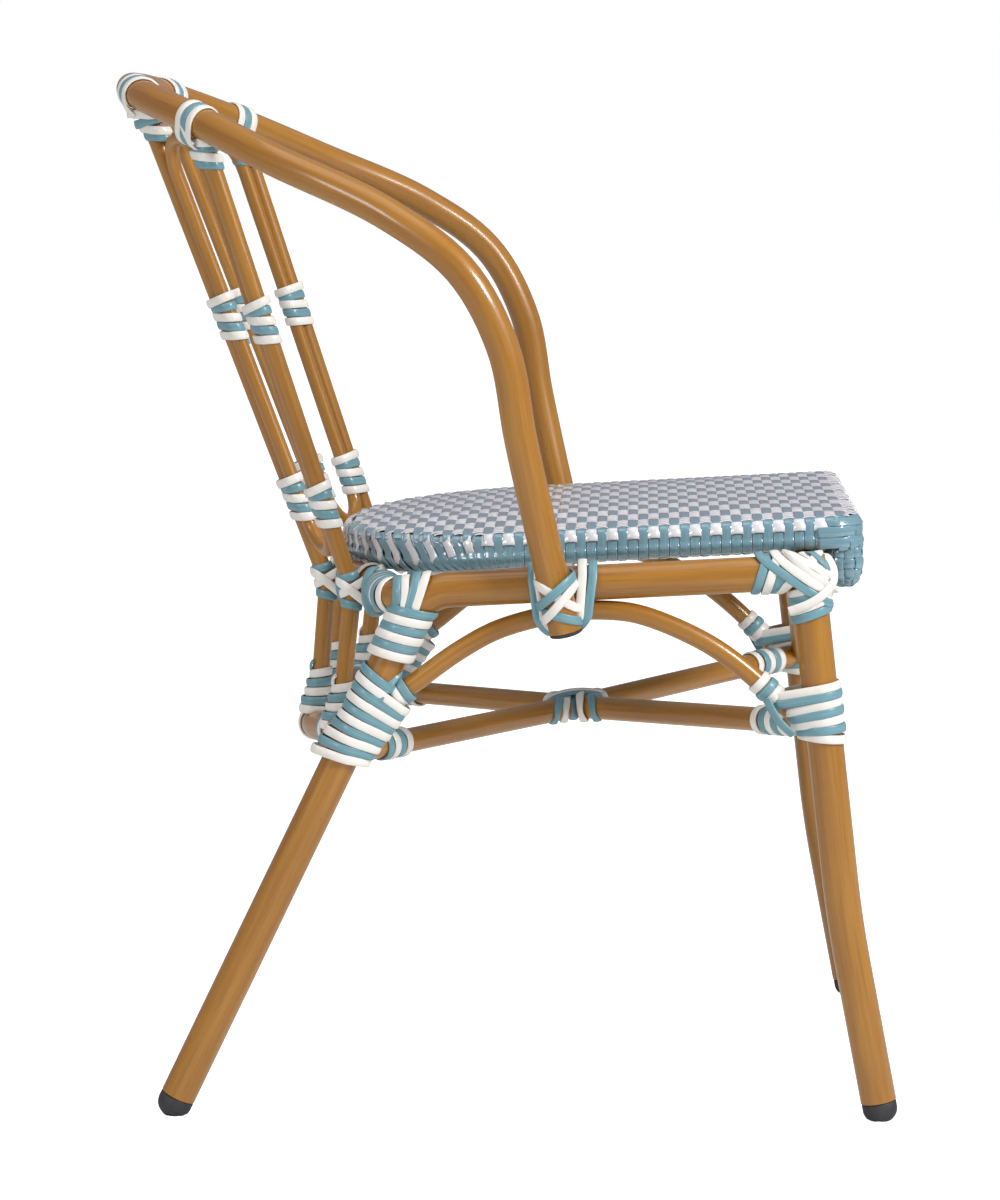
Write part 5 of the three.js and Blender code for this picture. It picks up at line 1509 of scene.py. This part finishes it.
corner_routes = []
for row, (start_x, radius, height) in enumerate(UPPER_ROWS):
    half = SEAT_HALF_WIDTH + 0.0006
    corners = [Vector((start_x, half, 0)), Vector((SEAT_FRONT_X + 0.0002, half, 0)),
               Vector((SEAT_FRONT_X + 0.0002, -half, 0)), Vector((start_x, -half, 0))]
    run = evenly(rounded_run(corners, radius, 12), UPPER_STEPS)
    points, looks = [], []
    for k, place in enumerate(run):
        along = heading(run[max(k - 1, 0)], run[min(k + 1, UPPER_STEPS)])
        look = Vector((-along.y, along.x, 0))
        woven = min(max((look.x - 0.35) / 0.45, 0.0), 1.0)
        wave = woven * basket_wave(upper_distance(place), row) + (1 - woven) * 0.0011
        tuck = 0.0030 if k in (0, UPPER_STEPS) else 0.0
        points.append(Vector((place.x, place.y, seat_under_z(place.x) + height)) + look * (wave - tuck))
        looks.append(look)
    corner_routes.append(Route(points, looks, BLUE, False))

# Upright strips between the upper rows on the rounded corners: out, height, and what the diagonal adds to out
CORNER_FALL = (
    (-0.0012, 0.0200, 0.0), (0.0002, 0.0178, 0.0003), (0.0006, 0.0142, 0.0006), (0.0005, 0.0100, 0.0018),
    (0.0006, 0.0057, 0.0033), (0.0004, 0.0020, 0.0044), (-0.0004, -0.0010, 0.0044), (-0.0060, -0.0020, 0.0),
)
front_number = front_middle / upright_pitch - 0.5
corner_number = (SEAT_HALF_WIDTH - SEAT_CORNER_RADIUS) / upright_pitch
for side in SIDES:
    for k in range(1, 5):
        number = round(front_number + side * corner_number) + side * k
        sign = 1 if number % 2 else -1
        sinks = [0.0, 0.0, APRON_WAVE * sign, 0.0, -APRON_WAVE * sign]
        start = (number - front_number) * upright_pitch
        outward = ring_at(outline, start)[1]
        diagonal = 2 * abs(outward.x * outward.y)
        profile = [(out + bulge * diagonal, height) for out, height, bulge in CORNER_FALL]
        points, looks = run_down(outline, start, profile, 0.0, sinks)
        corner_routes.append(Route(points, square_to_run(points, looks), BLUE, False))

# A strip laid round each front corner above them
for side in SIDES:
    centre = Vector((SEAT_FRONT_X - SEAT_CORNER_RADIUS, side * (SEAT_HALF_WIDTH - SEAT_CORNER_RADIUS), 0))
    points, looks = [], []
    for k in range(13):
        angle = math.radians(between(2, 84, k / 12))
        outward = Vector((math.cos(angle), side * math.sin(angle), 0))
        flat = centre + outward * (SEAT_CORNER_RADIUS - (0.0030 if k in (0, 12) else 0.0006))
        points.append(Vector((flat.x, flat.y, seat_under_z(flat.x) + 0.0222)))
        looks.append((outward + UP * 0.65).normalized())
    corner_routes.append(Route(points, square_to_run(points, looks), BLUE, False))
for name, routes, width in (("seat_apron_strips", apron_routes, 0.0074), ("seat_corner_strips", corner_routes, 0.0086)):
    settle(grow(name, routes, FLAT_STRIP, {**WEAVE_SIZES, "Width": width}), "seat_weave", "woven_seat")

# Underside: the same weave seen from below, which bulges under the seat's frame
UNDER_STEPS = (0.0, 0.08, 0.2, 0.35, 0.5, 0.65, 0.8, 0.92)


def under_skin(x, y, sign):
    bulge = max(0.0, 1 - ((inset_at(x, y) - SEAT_FRAME_INSET) / 0.0105) ** 2) * 0.0028
    hang = rear_sag(x) * max(0.0, 1 - max(0.0, inset_at(x, y) - 0.010) / 0.022)
    return Vector((x, y, seat_under_z(x) + 0.0010 - bulge - hang - WAVE * sign))


down = -UP
across_under, along_under = [], []
for i in range(1, CROSS_COUNT):
    x = cross_x(i)
    half = half_width_at(x) - 0.009
    if half > 0.03:
        ys = [y for y in across_places(half, (), UNDER_STEPS)]
        across_under.append(Route([under_skin(x, y, cross_over(i, y)) for y in ys], [down] * len(ys), BLUE, False))
for j in range(ROW_STRIPS * ROW_COUNT):
    y = -WEAVE_REACH + LENGTH_PITCH * (j + 0.5)
    points = []
    for i in range(1, CROSS_COUNT):
        if inset_at(cross_x(i), y) < 0.014:
            continue
        sign = 1 if (row_of(y) + i) % 2 else -1
        points += [under_skin(cross_x(i) + share * WEAVE_PITCH, y, sign) for share in (0.25, -0.25)]
    if len(points) > 12:
        along_under.append(Route(points, [down] * len(points), WHITE, False))
for name, routes in (("seat_underside_crosswise", across_under), ("seat_underside_lengthwise", along_under)):
    settle(grow(name, routes, FLAT_STRIP, {**WEAVE_SIZES, "Sides": 8}), "seat_weave", "woven_seat")

frame_run = []
for k in range(96):
    place, outward = ring_at(outline, OUTLINE_STEPS * (outline[1] - outline[0]).length * k / 96)
    flat = place - outward * SEAT_FRAME_INSET
    frame_run.append(Vector((flat.x, flat.y, seat_under_z(flat.x) + SEAT_FRAME_RADIUS * 0.8)))
bar("seat_frame", frame_run, SEAT_FRAME_RADIUS, closed=True, sides=20, finish=BARE_METAL, slot="seat_frame")


# Room


def backdrop_finish():
    """Pale floor that keeps its shadows and looks white to the camera."""
    material, tree, shader = new_finish("pale_floor", Roughness=0.9)
    shader.inputs["Base Color"].default_value = (0.8, 0.8, 0.8, 1)
    path = add_node(tree, "ShaderNodeLightPath")
    glow = add_node(tree, "ShaderNodeEmission", {
        "Strength": add_node(tree, "ShaderNodeMath", {0: path.outputs["Is Camera Ray"], 1: 0.85},
                             operation="MULTIPLY").outputs[0],
    })
    both = add_node(tree, "ShaderNodeAddShader", {0: shader.outputs[0], 1: glow.outputs[0]})
    tree.links.new(both.outputs[0], tree.nodes["Material Output"].inputs["Surface"])
    return material


floor_mesh = bpy.data.meshes.new("floor")
floor_mesh.from_pydata([(-30, -30, 0), (30, -30, 0), (30, 30, 0), (-30, 30, 0)], [], [(0, 1, 2, 3)])
floor_mesh.materials.append(backdrop_finish())
floor = bpy.data.objects.new("floor", floor_mesh)
bpy.context.scene.collection.objects.link(floor)

world = bpy.data.worlds.new("studio")
bpy.context.scene.world = world
world.use_nodes = True
tree = world.node_tree
path = add_node(tree, "ShaderNodeLightPath")
seen = add_node(tree, "ShaderNodeMath", {0: path.outputs["Is Camera Ray"], 1: path.outputs["Is Transmission Ray"]},
                operation="MAXIMUM")
level = add_node(tree, "ShaderNodeMapRange", {"Value": seen.outputs[0], "To Min": 0.44, "To Max": 1.0})
sky = tree.nodes["Background"]
tree.links.new(level.outputs["Result"], sky.inputs["Strength"])
tint = mix_colour(tree, path.outputs["Is Glossy Ray"], (1, 1, 1, 1), (0.75, 0.67, 0.76, 1))
tree.links.new(tint, sky.inputs["Color"])


def softbox(name, place, aim, size, power):
    light = bpy.data.lights.new(name, "AREA")
    light.shape = "SQUARE"
    light.size = size
    light.energy = power
    lamp = bpy.data.objects.new(name, light)
    lamp.location = place
    lamp.rotation_euler = (Vector(aim) - Vector(place)).to_track_quat("-Z", "Y").to_euler()
    bpy.context.scene.collection.objects.link(lamp)


softbox("key_softbox", (2.1, -1.7, 2.2), (0, 0, 0.4), 0.8, 76)
softbox("left_softbox", (-1.9, -2.2, 1.4), (0, 0, 0.5), 0.7, 16)
softbox("top_softbox", (-0.2, -0.4, 2.7), (0, 0, 0.4), 1.6, 10)

camera_data = bpy.data.cameras.new("camera")
camera_data.sensor_width = 36
camera_data.lens = 127.71
camera_data.sensor_fit = "AUTO"
camera = bpy.data.objects.new("camera", camera_data)
camera.location = (0.1139, -3.506, 0.7687)
camera.rotation_euler = Euler((math.radians(90 - 6.34), 0, math.radians(1.91)))
bpy.context.scene.collection.objects.link(camera)
bpy.context.scene.camera = camera
bpy.context.scene.view_settings.view_transform = "Standard"
